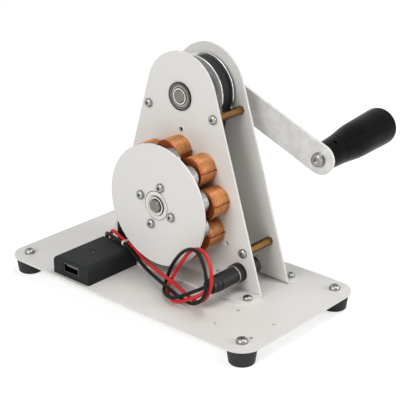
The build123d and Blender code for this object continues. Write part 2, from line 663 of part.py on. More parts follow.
with BuildPart() as rotor_set_screws:
    with BuildSketch(Plane.XY.offset(ROTOR_Z + SHAFT_RADIUS)):
        with Locations((0, set_screw_y), (0, hub_set_screw_y)):
            Circle(1.25)
            RegularPolygon(0.7, 6, mode=Mode.SUBTRACT)
    extrude(amount=3.8)
save(rotor_set_screws.part, "rotor_set_screws")


# ---------------------------------------------------------------- timing belt
def belt_outline(grow):
    """Draw the closed belt line at a distance outside both pulleys' tooth tips."""
    top_radius = DRIVE_TIP_RADIUS + grow
    low_radius = DRIVEN_TIP_RADIUS + grow
    spread = math.asin((top_radius - low_radius) / (CRANK_Z - ROTOR_Z))
    top_x = top_radius * math.cos(spread)
    top_z = CRANK_Z - top_radius * math.sin(spread)
    low_x = low_radius * math.cos(spread)
    low_z = ROTOR_Z - low_radius * math.sin(spread)
    over = ThreePointArc((top_x, top_z), (0, CRANK_Z + top_radius), (-top_x, top_z))
    left = Line(over @ 1, (-low_x, low_z))
    under = ThreePointArc(left @ 1, (0, ROTOR_Z - low_radius), (low_x, low_z))
    return Line(under @ 1, over @ 0)


belt_front_y = (PULLEY_ZONE_FRONT + PULLEY_ZONE_BACK - BELT_WIDTH) / 2
belt_spread = math.asin((DRIVE_TIP_RADIUS - DRIVEN_TIP_RADIUS) / (CRANK_Z - ROTOR_Z))
span_length = (CRANK_Z - ROTOR_Z) * math.cos(belt_spread)
inner_low = DRIVEN_TIP_RADIUS + BELT_CLEARANCE
span_start = Vector(inner_low * math.cos(belt_spread), ROTOR_Z - inner_low * math.sin(belt_spread))
span_dir = Vector(math.sin(belt_spread), math.cos(belt_spread))
SPAN_TEETH = int(span_length / BELT_PITCH) - 5
first_tooth = (span_length - (SPAN_TEETH - 1) * BELT_PITCH) / 2
tooth_points = [span_start + span_dir * (first_tooth + BELT_PITCH * i) for i in range(SPAN_TEETH)]
tooth_places = [(side * p.X, p.Y) for side in (-1, 1) for p in tooth_points]

with BuildPart() as timing_belt:
    with BuildSketch(across(belt_front_y)):
        with BuildLine():
            belt_outline(BELT_CLEARANCE + BELT_BACKING)
        make_face()
        with BuildLine():
            belt_outline(BELT_CLEARANCE)
        make_face(mode=Mode.SUBTRACT)
        with Locations(*tooth_places):
            Circle(0.5)
    extrude(amount=-BELT_WIDTH)
save(timing_belt.part, "timing_belt")

# ---------------------------------------------------------------- stator
COIL_FREE_END = 0.35

with BuildPart() as coil_posts:
    with BuildSketch(across(COIL_FRONT_Y)):
        with Locations(*coil_places):
            Circle(COIL_POST_RADIUS)
    extrude(amount=-COIL_LENGTH)
    with BuildSketch(across(FRONT_Y)):
        with Locations(*coil_places):
            Circle(M3_RADIUS)
    extrude(amount=8.0, mode=Mode.SUBTRACT)
save(coil_posts.part, "coil_posts")

with BuildPart() as coil_screws:
    with Locations(*[facing_rear(FRONT_BACK_Y, x, z) for x, z in coil_places]):
        add(m3_button.part)
save(coil_screws.part, "coil_screws")

with BuildPart() as coil_cores:
    with BuildSketch(across(COIL_FRONT_Y)):
        with Locations(*coil_places):
            Circle(COIL_CORE_RADIUS)
            Circle(COIL_POST_RADIUS, mode=Mode.SUBTRACT)
    extrude(amount=-COIL_LENGTH)
save(coil_cores.part, "coil_cores")


def helix_point(half_turns):
    """Point and heading on the outer layer's helix about Z, after a number of half turns."""
    radius = COIL_CORE_RADIUS + 0.02 + COIL_WIRE_RADIUS
    angle = math.pi * half_turns
    point = Vector(radius * math.cos(angle), radius * math.sin(angle), COIL_WIRE_PITCH * half_turns / 2)
    rise = COIL_WIRE_PITCH / (2 * math.pi)
    heading = Vector(-radius * math.sin(angle), radius * math.cos(angle), rise)
    return point, heading.normalized()


def half_turn_biarc(start, start_dir, end, end_dir):
    """Two arcs of a quarter turn that leave and arrive along the given headings."""
    span = end - start
    total = start_dir + end_dir
    lead = span.dot(total)
    spread = 4 - total.dot(total)
    reach = (math.sqrt(lead**2 + spread * span.dot(span)) - lead) / spread
    first_corner = start + start_dir * reach
    last_corner = end - end_dir * reach
    middle = (first_corner + last_corner) * 0.5
    TangentArc(start, middle, tangent=start_dir)
    TangentArc(middle, end, tangent=(middle - first_corner).normalized())


with BuildPart() as one_winding:
    with BuildLine() as winding_path:
        first_point, first_dir = helix_point(0)
        Line(first_point - first_dir * (2 * COIL_WIRE_RADIUS), first_point)
        for half in range(2 * COIL_TURNS):
            here, here_dir = helix_point(half)
            there, there_dir = helix_point(half + 1)
            half_turn_biarc(here, here_dir, there, there_dir)
        last_point, last_dir = helix_point(2 * COIL_TURNS)
        Line(last_point, last_point + last_dir * (2 * COIL_WIRE_RADIUS))
    with BuildSketch(Plane(winding_path.line @ 0, z_dir=first_dir)):
        Circle(COIL_WIRE_RADIUS)
    sweep()

winding_start_y = FRONT_Y - (COIL_LENGTH - COIL_WIRE_PITCH * COIL_TURNS) / 2

with BuildPart() as coil_windings:
    with Locations(*[across(winding_start_y, x, z) for x, z in coil_places]):
        add(one_winding.part)
save(coil_windings.part, "coil_windings")


def least_turn_gap():
    """Least free gap between two turns of the winding, measured on points along it."""
    wire = winding_path.wires()[0]
    points = [wire @ (i / 900) for i in range(901)]
    step = wire.length / 900
    apart = int(math.pi * COIL_CORE_RADIUS / step)
    return min(
        (points[i] - points[j]).length - 2 * COIL_WIRE_RADIUS
        for i in range(0, 901, 3)
        for j in range(i + apart, 901)
    )


print("least gap between the winding's turns", round(least_turn_gap(), 3))

# ---------------------------------------------------------------- rectifier
with BuildPart() as rectifier:
    with BuildSketch(across(FRONT_Y)):
        with Locations(rectifier_centre):
            RectangleRounded(RECTIFIER_X[1] - RECTIFIER_X[0], RECTIFIER_Z[1] - RECTIFIER_Z[0], 2.5)
            Circle(M3_CLEARANCE, mode=Mode.SUBTRACT)
    extrude(amount=RECTIFIER_DEPTH)
save(rectifier.part, "rectifier")

with BuildPart() as rectifier_screw:
    with BuildSketch(across(FRONT_Y - RECTIFIER_DEPTH)):
        with Locations(rectifier_centre):
            Circle(M3_HEAD_RADIUS)
    extrude(amount=M3_HEAD_HEIGHT)
    fillet(rectifier_screw.edges().group_by(Axis.Y)[0], 1.0)
    with BuildSketch(across(FRONT_Y - RECTIFIER_DEPTH)):
        with Locations(rectifier_centre):
            Circle(M3_RADIUS)
    extrude(amount=-(RECTIFIER_DEPTH + SHEET + 3.4))
save(rectifier_screw.part, "rectifier_screw")

with BuildPart() as rectifier_nut:
    with Locations(facing_rear(FRONT_BACK_Y, *rectifier_centre)):
        add(hex_nut.part)
save(rectifier_nut.part, "rectifier_nut")

# ---------------------------------------------------------------- power socket and plug
JACK_CENTRE_Z = BASE_TOP + JACK_Z
COLLAR_FRONT = FRONT_Y - 4.7
RING_FRONT = COLLAR_FRONT - 0.9
PLUG_FRONT = RING_FRONT
PLUG_BACK = BASE_Y - 22.5
JACK_BACK = FRONT_BACK_Y + 12.5
CAVITY_RADIUS = 2.85
BARREL_RADIUS = 2.75

with BuildPart() as dc_jack:
    add_ring(COLLAR_FRONT, FRONT_BACK_Y, 4.0, CAVITY_RADIUS, x=JACK_X, z=JACK_CENTRE_Z)
    add_ring(FRONT_BACK_Y, JACK_BACK, 5.6, CAVITY_RADIUS, x=JACK_X, z=JACK_CENTRE_Z)
    add_ring(JACK_BACK - 2.0, JACK_BACK, 5.6, x=JACK_X, z=JACK_CENTRE_Z)
save(dc_jack.part, "dc_jack")

with BuildPart() as jack_pin:
    add_ring(FRONT_BACK_Y - 1.0, JACK_BACK - 2.0, 1.0, x=JACK_X, z=JACK_CENTRE_Z)
save(jack_pin.part, "jack_pin")

with BuildPart() as jack_tags:
    with BuildSketch(across(JACK_BACK)):
        with Locations((JACK_X, JACK_CENTRE_Z + 4.3), (JACK_X + 2.5, JACK_CENTRE_Z - 2.5)):
            Rectangle(2.4, 0.6)
    extrude(amount=-5.0)
save(jack_tags.part, "jack_tags")

with BuildPart() as jack_collar:
    add_ring(COLLAR_FRONT, FRONT_Y, 6.05, 4.0, x=JACK_X, z=JACK_CENTRE_Z)
    with BuildSketch(across(COLLAR_FRONT, JACK_X, JACK_CENTRE_Z)):
        with PolarLocations(6.2, 24):
            Circle(0.3)
    extrude(amount=-4.7, mode=Mode.SUBTRACT)
save(jack_collar.part, "jack_collar")

with BuildPart() as jack_ring:
    add_ring(RING_FRONT, COLLAR_FRONT, 5.75, CAVITY_RADIUS, x=JACK_X, z=JACK_CENTRE_Z)
save(jack_ring.part, "jack_ring")

with BuildPart() as plug_barrel:
    add_ring(PLUG_FRONT, FRONT_Y + 4.6, BARREL_RADIUS, 1.25, x=JACK_X, z=JACK_CENTRE_Z)
save(plug_barrel.part, "plug_barrel")

with BuildPart() as dc_plug:
    plug_profile = [
        (PLUG_FRONT, 5.15),
        (BASE_Y - 15.0, 5.15),
        (BASE_Y - 15.6, 4.5),
        (BASE_Y - 16.8, 4.5),
        (BASE_Y - 17.2, 5.0),
        (BASE_Y - 18.4, 4.9),
        (BASE_Y - 18.8, 4.3),
        (BASE_Y - 20.0, 4.3),
        (BASE_Y - 20.4, 4.75),
        (PLUG_BACK, 4.4),
    ]
    with BuildSketch(Plane((JACK_X, 0, JACK_CENTRE_Z), x_dir=(0, 1, 0), z_dir=(1, 0, 0))):
        with BuildLine():
            Polyline((PLUG_FRONT, 0), *plug_profile, (PLUG_BACK, 0), close=True)
        make_face()
    revolve(axis=Axis((JACK_X, 0, JACK_CENTRE_Z), (0, 1, 0)))
save(dc_plug.part, "dc_plug")

# ---------------------------------------------------------------- USB voltage module
MODULE_LEFT = -56.7
MODULE_FRONT = BASE_Y - 52.2
MODULE_BACK = MODULE_FRONT + MODULE_LENGTH
module_centre_x = MODULE_LEFT + MODULE_WIDTH / 2
module_centre_y = MODULE_FRONT + MODULE_LENGTH / 2
PORT_WIDTH = 13.1
PORT_HEIGHT = 5.7
PORT_Z = BASE_TOP + 6.1
PORT_DEPTH = 14.0
CASE_FLOOR = 1.6
LED_Y = BASE_Y - 32.4
LED_X = -41.5

with BuildPart() as usb_case_lid:
    with BuildSketch(across(MODULE_FRONT, module_centre_x, BASE_TOP)) as case_end:
        Rectangle(MODULE_WIDTH, MODULE_HEIGHT, align=(Align.CENTER, Align.MIN))
        fillet(case_end.vertices().group_by(Axis.Y)[-1], 4.2)
    extrude(amount=-MODULE_LENGTH)
    end_edges = usb_case_lid.edges().group_by(Axis.Y)
    fillet(end_edges[0].sort_by(Axis.Z)[1:] + end_edges[-1].sort_by(Axis.Z)[1:], 1.0)
    with BuildSketch(across(MODULE_FRONT + MODULE_WALL, module_centre_x, BASE_TOP)) as hollow:
        Rectangle(
            MODULE_WIDTH - 2 * MODULE_WALL, MODULE_HEIGHT - MODULE_WALL, align=(Align.CENTER, Align.MIN)
        )
        fillet(hollow.vertices().group_by(Axis.Y)[-1], 2.8)
    extrude(amount=-(MODULE_LENGTH - 2 * MODULE_WALL), mode=Mode.SUBTRACT)
    with BuildSketch(across(MODULE_FRONT, module_centre_x, PORT_Z)):
        Rectangle(PORT_WIDTH + 0.9, PORT_HEIGHT + 0.7)
    extrude(amount=-MODULE_WALL, mode=Mode.SUBTRACT)
    with BuildSketch(Plane.XY.offset(BASE_TOP + MODULE_HEIGHT)):
        with Locations((LED_X, LED_Y)):
            Circle(1.6)
    extrude(amount=-MODULE_WALL, mode=Mode.SUBTRACT)
save(usb_case_lid.part, "usb_case_lid")

with BuildPart() as usb_case_floor:
    with BuildSketch(Plane.XY.offset(BASE_TOP)):
        with Locations((module_centre_x, module_centre_y)):
            Rectangle(MODULE_WIDTH - 2 * MODULE_WALL - 0.1, MODULE_LENGTH - 2 * MODULE_WALL - 0.1)
    extrude(amount=CASE_FLOOR)
save(usb_case_floor.part, "usb_case_floor")

BOARD_BOTTOM = BASE_TOP + CASE_FLOOR
with BuildPart() as module_board:
    with BuildSketch(Plane.XY.offset(BOARD_BOTTOM)):
        with Locations((module_centre_x, MODULE_FRONT + 23.0)):
            Rectangle(24.0, 32.0)
    extrude(amount=1.2)
save(module_board.part, "module_board")

with BuildPart() as module_inductor:
    with BuildSketch(Plane.XY.offset(BOARD_BOTTOM + 1.2)):
        with Locations((module_centre_x, MODULE_FRONT + 31.0)):
            Circle(4.5)
    extrude(amount=4.5)
save(module_inductor.part, "module_inductor")

with BuildPart() as usb_shell:
    with BuildSketch(across(MODULE_FRONT + 0.4, module_centre_x, PORT_Z)):
        Rectangle(PORT_WIDTH, PORT_HEIGHT)
        Rectangle(PORT_WIDTH - 0.6, PORT_HEIGHT - 0.6, mode=Mode.SUBTRACT)
    extrude(amount=-PORT_DEPTH)
    with BuildSketch(across(MODULE_FRONT + 0.4 + PORT_DEPTH - 0.6, module_centre_x, PORT_Z)):
        Rectangle(PORT_WIDTH, PORT_HEIGHT)
    extrude(amount=-0.6)
save(usb_shell.part, "usb_shell")

TONGUE_Z = PORT_Z + 1.1
with BuildPart() as usb_tongue:
    with BuildSketch(across(MODULE_FRONT + 2.0, module_centre_x, TONGUE_Z)):
        Rectangle(11.0, 1.8)
    extrude(amount=-(PORT_DEPTH - 2.2))
save(usb_tongue.part, "usb_tongue")

with BuildPart() as power_led:
    with BuildSketch(Plane.XY.offset(BASE_TOP + MODULE_HEIGHT - MODULE_WALL - 2.4)):
        with Locations((LED_X, LED_Y)):
            Circle(1.5)
    extrude(amount=3.6)
    fillet(power_led.edges().group_by(Axis.Z)[-1], 0.5)
save(power_led.part, "power_led")

# ---------------------------------------------------------------- wires
# The two wires run side by side from the module's rear face, over its rear corner, and down past
# the disc. On the base they make one loose overhand loop before they reach the plug. Each point is
# an X, a distance behind the base's middle and a height above the base plate.
RED_ROUTE = [
    (-50.5, -10.5, 6.0),
    (-50.5, -6.0, 6.0),
    (-53.0, -5.5, 11.0),
    (-51.0, -6.0, 15.0),
    (-45.0, -8.0, 15.0),
    (-38.0, -10.0, 14.0),
    (-31.5, -11.5, 13.75),
    (-25.0, -13.0, 12.5),
    (-16.5, -14.5, 9.5),
    (-5.5, -18.0, 8.0),
    (7.0, -22.0, 8.0),
    (18.5, -24.5, 7.5),
    (28.0, -26.0, 5.0),
    (35.5, -27.0, 3.0),
    (43.0, -29.0, 3.0),
    (50.5, -30.5, 8.0),
    (55.5, -32.0, 15.5),
    (57.0, -32.5, 23.0),
    (56.0, -31.5, 29.5),
    (52.5, -30.0, 34.0),
    (47.0, -28.0, 37.0),
    (40.0, -26.0, 36.0),
    (32.0, -24.0, 30.5),
    (24.5, -21.5, 21.5),
    (17.5, -19.0, 12.5),
    (15.0, -20.5, 7.0),
    (15.0, -23.5, 3.5),
    (17.0, -26.5, 1.5),
    (23.0, -32.0, 1.5),
    (30.0, -35.0, 1.5),
    (36.5, -35.0, 4.0),
    (42.0, -33.5, 7.0),
    (46.5, -31.0, 9.5),
    (48.0, -28.5, 11.5),
    (47.2, -25.5, 10.8),
    (47.2, -22.5, 10.8),
]
BLACK_ROUTE = [
    (-54.0, -10.5, 5.0),
    (-54.0, -6.0, 5.0),
    (-56.0, -6.2, 8.5),
    (-54.5, -8.0, 12.5),
    (-50.5, -9.8, 13.5),
    (-44.0, -11.4, 13.5),
    (-37.8, -13.0, 13.5),
    (-31.5, -14.2, 13.95),
    (-25.5, -15.8, 12.5),
    (-15.5, -17.0, 7.0),
    (-4.5, -20.0, 4.5),
    (8.0, -25.0, 5.0),
    (19.5, -28.5, 4.5),
    (28.0, -30.0, 3.0),
    (36.0, -31.0, 2.0),
    (43.5, -32.5, 3.5),
    (50.5, -33.5, 8.5),
    (54.5, -34.5, 15.5),
    (55.5, -35.0, 22.5),
    (54.0, -34.5, 29.0),
    (50.5, -33.0, 33.5),
    (45.5, -31.0, 37.0),
    (38.5, -29.0, 36.5),
    (29.5, -26.5, 31.0),
    (20.5, -23.0, 22.0),
    (12.5, -19.0, 12.5),
    (11.0, -20.5, 6.0),
    (12.5, -25.0, 2.0),
    (19.0, -32.0, 2.5),
    (27.0, -35.5, 3.5),
    (32.5, -35.5, 5.5),
    (37.5, -34.0, 8.0),
    (43.0, -32.5, 11.5),
    (47.0, -28.5, 13.5),
    (45.9, -25.5, 13.2),
    (45.9, -22.5, 13.2),
]


def placed_route(route):
    """The route's points in the model's own frame."""
    return [Vector(x, BASE_Y + y, BASE_TOP + z) for x, y, z in route]


def route_radii(points):
    """The largest arc that each corner of the route has room for."""
    radii = []
    for before, corner, after in zip(points, points[1:], points[2:]):
        leg_in = corner - before
        leg_out = after - corner
        half_turn = math.radians(leg_in.get_angle(leg_out)) / 2
        shorter = min(leg_in.length, leg_out.length)
        radii.append(0.45 * shorter / math.tan(half_turn))
    return radii


def report_wire(label, path, radii, part):
    """Print the radii, the length and how the volume compares with section times length."""
    length = path.wires()[0].length
    share = part.volume / (math.pi * WIRE_RADIUS**2 * length)
    print(label, "length", round(length, 1), "volume share", round(share, 4))
    print(label, "radii", [round(radius, 1) for radius in radii])


red_points = placed_route(RED_ROUTE)
red_radii = route_radii(red_points)
with BuildPart() as red_wire:
    with BuildLine() as red_path:
        FilletPolyline(*red_points, radius=red_radii)
    with BuildSketch(Plane(red_points[0], z_dir=red_points[1] - red_points[0])):
        Circle(WIRE_RADIUS)
    sweep()
save(red_wire.part, "red_wire")
report_wire("red_wire", red_path.line, red_radii, red_wire.part)

black_points = placed_route(BLACK_ROUTE)
black_radii = route_radii(black_points)
with BuildPart() as black_wire:
    with BuildLine() as black_path:
        FilletPolyline(*black_points, radius=black_radii)
    with BuildSketch(Plane(black_points[0], z_dir=black_points[1] - black_points[0])):
        Circle(WIRE_RADIUS)
    sweep()
save(black_wire.part, "black_wire")
report_wire("black_wire", black_path.line, black_radii, black_wire.part)

# ---------------------------------------------------------------- tie round the wires
TIE_AT = 6  # the red route's point and the black route's next one
tie_red = red_points[TIE_AT]
tie_black = black_points[TIE_AT + 1]
tie_dir = (red_points[TIE_AT + 1] - red_points[TIE_AT - 1]).normalized()
tie_across = tie_black - tie_red
tie_across = tie_across - tie_dir * tie_across.dot(tie_dir)
tie_middle = (tie_red + tie_black) * 0.5
TIE_INNER = 2 * WIRE_RADIUS + 0.7
TIE_OUTER = TIE_INNER + 0.8

with BuildPart() as wire_tie:
    for shift in (-0.9, 0.25):
        with BuildSketch(Plane(tie_middle + tie_dir * shift, x_dir=tie_across, z_dir=tie_dir)):
            SlotCenterToCenter(tie_across.length, TIE_OUTER)
            SlotCenterToCenter(tie_across.length, TIE_INNER, mode=Mode.SUBTRACT)
        extrude(amount=0.8)
save(wire_tie.part, "wire_tie")
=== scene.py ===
"""Looks of a hand crank generator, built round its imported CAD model."""

import logging
import math
from dataclasses import dataclass
from enum import Enum
from typing import ClassVar

import bmesh
import bpy
from mathutils import Matrix, Quaternion, Vector


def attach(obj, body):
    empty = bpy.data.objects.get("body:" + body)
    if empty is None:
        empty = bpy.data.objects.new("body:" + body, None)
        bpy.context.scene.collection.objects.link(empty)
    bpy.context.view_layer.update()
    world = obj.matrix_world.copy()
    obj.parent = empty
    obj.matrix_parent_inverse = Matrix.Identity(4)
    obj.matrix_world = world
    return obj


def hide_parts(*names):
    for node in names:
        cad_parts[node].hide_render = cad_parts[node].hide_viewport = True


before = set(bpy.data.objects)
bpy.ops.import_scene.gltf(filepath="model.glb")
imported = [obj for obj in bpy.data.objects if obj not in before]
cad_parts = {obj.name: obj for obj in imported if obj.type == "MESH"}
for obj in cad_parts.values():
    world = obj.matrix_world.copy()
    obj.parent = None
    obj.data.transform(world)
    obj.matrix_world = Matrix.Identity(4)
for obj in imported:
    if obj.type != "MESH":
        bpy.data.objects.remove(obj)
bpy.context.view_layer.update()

LOG = logging.getLogger("generator")
Colour = tuple[float, float, float]
Point = tuple[float, float, float]
Socket = bpy.types.NodeSocket

MM = 0.001
BASE_Y = -0.03275  # middle of the base across its width
BASE_TOP = 0.012
CRANK_Z = 0.1243
ROTOR_Z = 0.0611
FRONT_Y = BASE_Y + 0.00475  # front face of the front upright
ARM_ANGLE = math.radians(-24.9)

GRAIN_LOW, GRAIN_HIGH = 0.3, 0.7  # where most of a grain's values lie
EDGE_SAMPLES = 6
MIX_SHARE, MIX_FIRST, MIX_SECOND, MIX_RESULT = 0, 6, 7, 2  # places of a colour mix's sockets
WHITE = (1.0, 1.0, 1.0, 1.0)


def linear(red: float, green: float, blue: float) -> Colour:
    """Turns a display colour of 0 to 255 into the shader's linear colour.

    Args:
        red: Red as seen on a display.
        green: Green as seen on a display.
        blue: Blue as seen on a display.

    Returns:
        The three linear values.
    """

    def channel(value: float) -> float:
        """Turns one channel linear.

        Args:
            value: The channel as seen on a display.

        Returns:
            Its linear value.
        """
        share = value / 255.0
        return share / 12.92 if share <= 0.04045 else ((share + 0.055) / 1.055) ** 2.4

    return (channel(red), channel(green), channel(blue))


class NodeSheet:
    """The node tree of one material, with a few short ways to add to it."""

    def __init__(self, name: str) -> None:
        """Starts a material with its Principled shader.

        Args:
            name: Name of the material.
        """
        self.material = bpy.data.materials.new(name)
        self.material.use_nodes = True
        self.tree = self.material.node_tree
        self.shader = self.tree.nodes["Principled BSDF"]
        self.place = self.tree.nodes.new("ShaderNodeTexCoord").outputs["Object"]

    def link(self, source: Socket, target: Socket) -> None:
        """Joins two sockets.

        Args:
            source: An output.
            target: An input.
        """
        self.tree.links.new(source, target)

    def feed(self, name: str, source: Socket) -> None:
        """Leads a value into the shader.

        Args:
            name: Name of the shader's input.
            source: The value.
        """
        self.link(source, self.shader.inputs[name])

    def fix(self, name: str, value: float) -> None:
        """Sets one of the shader's numbers for the whole surface.

        Args:
            name: Name of the shader's input.
            value: The number.
        """
        self.shader.inputs[name].default_value = value

    def mapped(self, scale: Point, location: Point = (0, 0, 0), turn: Point = (0, 0, 0)) -> Socket:
        """Object coordinates, scaled, turned and moved.

        Args:
            scale: Scale along each axis.
            location: Shift after the scale and the turn.
            turn: Turn about each axis, in radians.

        Returns:
            The mapped vector.
        """
        node = self.tree.nodes.new("ShaderNodeMapping")
        self.link(self.place, node.inputs["Vector"])
        node.inputs["Location"].default_value = location
        node.inputs["Rotation"].default_value = turn
        node.inputs["Scale"].default_value = scale
        return node.outputs["Vector"]

    def noise(
        self,
        scale: float,
        detail: float = 3.0,
        vector: Socket | None = None,
        rough: float = 0.5,
    ) -> Socket:
        """A grain of a given fineness.

        Args:
            scale: Features per metre.
            detail: How many finer layers it has.
            vector: Where it reads, or None for object coordinates.
            rough: How strong the finer layers are.

        Returns:
            The grain's value, 0 to 1.
        """
        node = self.tree.nodes.new("ShaderNodeTexNoise")
        self.link(vector or self.place, node.inputs["Vector"])
        node.inputs["Scale"].default_value = scale
        node.inputs["Detail"].default_value = detail
        node.inputs["Roughness"].default_value = rough
        return node.outputs[0]

    def radius(self, height: float) -> Socket:
        """Distance from an axis along Y.

        Args:
            height: Height of the axis above the floor, in metres.

        Returns:
            The distance in metres.
        """
        length = self.tree.nodes.new("ShaderNodeVectorMath")
        length.operation = "LENGTH"
        self.link(self.mapped((1, 0, 1), (0, 0, -height)), length.inputs[0])
        return length.outputs["Value"]

    def rings(self, fineness: float, height: float) -> Socket:
        """Fine rings about an axis along Y, as a lathe leaves them.

        Args:
            fineness: Features per metre of radius.
            height: Height of the axis above the floor, in metres.

        Returns:
            The rings' value, 0 to 1.
        """
        node = self.tree.nodes.new("ShaderNodeTexNoise")
        node.noise_dimensions = "1D"
        self.link(self.radius(height), node.inputs["W"])
        node.inputs["Scale"].default_value = fineness
        node.inputs["Detail"].default_value = 2.0
        return node.outputs[0]

    def spread(self, value: Socket, low: float, high: float) -> Socket:
        """Maps a grain's middle range to a range of numbers.

        Args:
            value: The grain.
            low: Result where the grain is low.
            high: Result where the grain is high.

        Returns:
            The mapped value.
        """
        node = self.tree.nodes.new("ShaderNodeMapRange")
        self.link(value, node.inputs["Value"])
        node.inputs["From Min"].default_value = GRAIN_LOW
        node.inputs["From Max"].default_value = GRAIN_HIGH
        node.inputs["To Min"].default_value = low
        node.inputs["To Max"].default_value = high
        return node.outputs["Result"]

    def blend(self, value: Socket, first: Colour, second: Colour) -> Socket:
        """Runs from one colour to another by a grain.

        Args:
            value: The grain.
            first: Colour where it is low.
            second: Colour where it is high.

        Returns:
            The colour.
        """
        node = self.mixer(self.spread(value, 0.0, 1.0), second)
        node.inputs[MIX_FIRST].default_value = (*first, 1.0)
        return node.outputs[MIX_RESULT]

    def over(self, share: Socket, under: Socket, colour: Colour, way: str = "MIX") -> Socket:
        """Lays one colour over a varied one.

        Args:
            share: How much of the colour is laid on, 0 to 1.
            under: The varied colour.
            colour: The colour laid over it.
            way: How the two are mixed.

        Returns:
            The colour.
        """
        node = self.mixer(share, colour)
        node.blend_type = way
        self.link(under, node.inputs[MIX_FIRST])
        return node.outputs[MIX_RESULT]

    def mixer(self, share: Socket, colour: Colour) -> bpy.types.ShaderNodeMix:
        """Starts a mix towards a colour.

        Args:
            share: How much of the colour there is, 0 to 1.
            colour: The second colour.

        Returns:
            The mixing node, whose first colour is still open.
        """
        node = self.tree.nodes.new("ShaderNodeMix")
        node.data_type = "RGBA"
        self.link(share, node.inputs[MIX_SHARE])
        node.inputs[MIX_SECOND].default_value = (*colour, 1.0)
        return node

    def relief(self, height: Socket, depth: float, edge: float, strength: float = 1.0) -> None:
        """Gives the surface a fine relief, and its sharp edges a small apparent rounding.

        Args:
            height: The grain that sets the relief.
            depth: Depth of the relief in metres.
            edge: Radius of the rounding in metres, or 0 for none.
            strength: How much of the relief is used.
        """
        bump = self.tree.nodes.new("ShaderNodeBump")
        bump.inputs["Strength"].default_value = strength
        bump.inputs["Distance"].default_value = depth
        self.link(height, bump.inputs["Height"])
        if edge > 0:
            rounded = self.tree.nodes.new("ShaderNodeBevel")
            rounded.samples = EDGE_SAMPLES
            rounded.inputs["Radius"].default_value = edge
            self.link(rounded.outputs[0], bump.inputs["Normal"])
        self.link(bump.outputs[0], self.shader.inputs["Normal"])


class Lay(Enum):
    """Which way the fine lines of a worked metal run."""

    CRANK_RINGS = "rings about the crank shaft"
    ROTOR_RINGS = "rings about the rotor shaft"
    ARM = "along the crank arm"
    PLAIN = "no direction"


@dataclass(frozen=True)
class Finish:
    """A surface with a base colour and a roughness."""

    name: str
    colour: Colour
    roughness: float

    swing: ClassVar[tuple[float, float]] = (0.0, 0.0)  # how far the roughness goes down and up

    def material(self) -> bpy.types.Material:
        """Builds the material of this finish.

        Returns:
            The material.
        """
        sheet = NodeSheet(self.name)
        sheet.shader.inputs["Base Color"].default_value = (*self.colour, 1.0)
        sheet.fix("Roughness", self.roughness)
        self.dress(sheet)
        return sheet.material

    def dress(self, sheet: NodeSheet) -> None:
        """Adds the detail of this finish.

        Args:
            sheet: The material's node tree.
        """
        raise NotImplementedError

    def vary_gloss(self, sheet: NodeSheet, grain: Socket) -> None:
        """Lets the roughness follow a grain.

        Args:
            sheet: The material's node tree.
            grain: The grain.
        """
        down, up = self.swing
        sheet.feed("Roughness", sheet.spread(grain, self.roughness + down, self.roughness + up))

    def shaded(self, share: float) -> Colour:
        """Darkens or lightens the base colour.

        Args:
            share: What each channel is multiplied by.

        Returns:
            The colour.
        """
        red, green, blue = self.colour
        return (red * share, green * share, blue * share)


@dataclass(frozen=True)
class PowderCoat(Finish):
    """Baked paint with a faint orange peel."""

    cloud: float = 14.0
    patches: float = 60.0
    peel: float = 900.0
    peel_depth: float = 0.00004
    peel_strength: float = 0.5
    edge: float = 0.0004
    cloud_shade: float = 0.975

    swing: ClassVar[tuple[float, float]] = (-0.05, 0.06)

    def dress(self, sheet: NodeSheet) -> None:
        """Adds the peel, and a faint unevenness in colour and gloss.

        Args:
            sheet: The material's node tree.
        """
        cloud = sheet.noise(self.cloud, 2.0)
        sheet.feed("Base Color", sheet.blend(cloud, self.shaded(self.cloud_shade), self.colour))
        self.vary_gloss(sheet, sheet.noise(self.patches))
        sheet.relief(sheet.noise(self.peel, 2.0), self.peel_depth, self.edge, self.peel_strength)


@dataclass(frozen=True)
class WorkedMetal(Finish):
    """Metal with the fine lines that a tool or a belt leaves on it."""

    lay: Lay = Lay.PLAIN
    fineness: float = 2500.0
    depth: float = 0.00002
    metallic: float = 1.0
    dull: float = 180.0
    dull_shade: float = 0.82
    edge: float = 0.0002

    swing: ClassVar[tuple[float, float]] = (-0.08, 0.1)

    def lines(self, sheet: NodeSheet) -> Socket:
        """The tool lines of this metal.

        Args:
            sheet: The material's node tree.

        Returns:
            The lines' value, 0 to 1.
        """
        if self.lay is Lay.CRANK_RINGS:
            return sheet.rings(self.fineness, CRANK_Z)
        if self.lay is Lay.ROTOR_RINGS:
            return sheet.rings(self.fineness, ROTOR_Z)
        if self.lay is Lay.ARM:
            drawn_out = sheet.mapped((0.02, 1, 1), turn=(0, -ARM_ANGLE, 0))
            return sheet.noise(self.fineness, 2.0, drawn_out)
        return sheet.noise(self.fineness, 4.0)

    def tone(self, sheet: NodeSheet) -> Socket:
        """The metal's colour, with a few dull patches.

        Args:
            sheet: The material's node tree.

        Returns:
            The colour.
        """
        return sheet.blend(sheet.noise(self.dull, 5.0), self.shaded(self.dull_shade), self.colour)

    def dress(self, sheet: NodeSheet) -> None:
        """Adds the lines in relief and gloss, and the metal's tone.

        Args:
            sheet: The material's node tree.
        """
        sheet.fix("Metallic", self.metallic)
        sheet.feed("Base Color", self.tone(sheet))
        lines = self.lines(sheet)
        self.vary_gloss(sheet, lines)
        sheet.relief(lines, self.depth, self.edge)


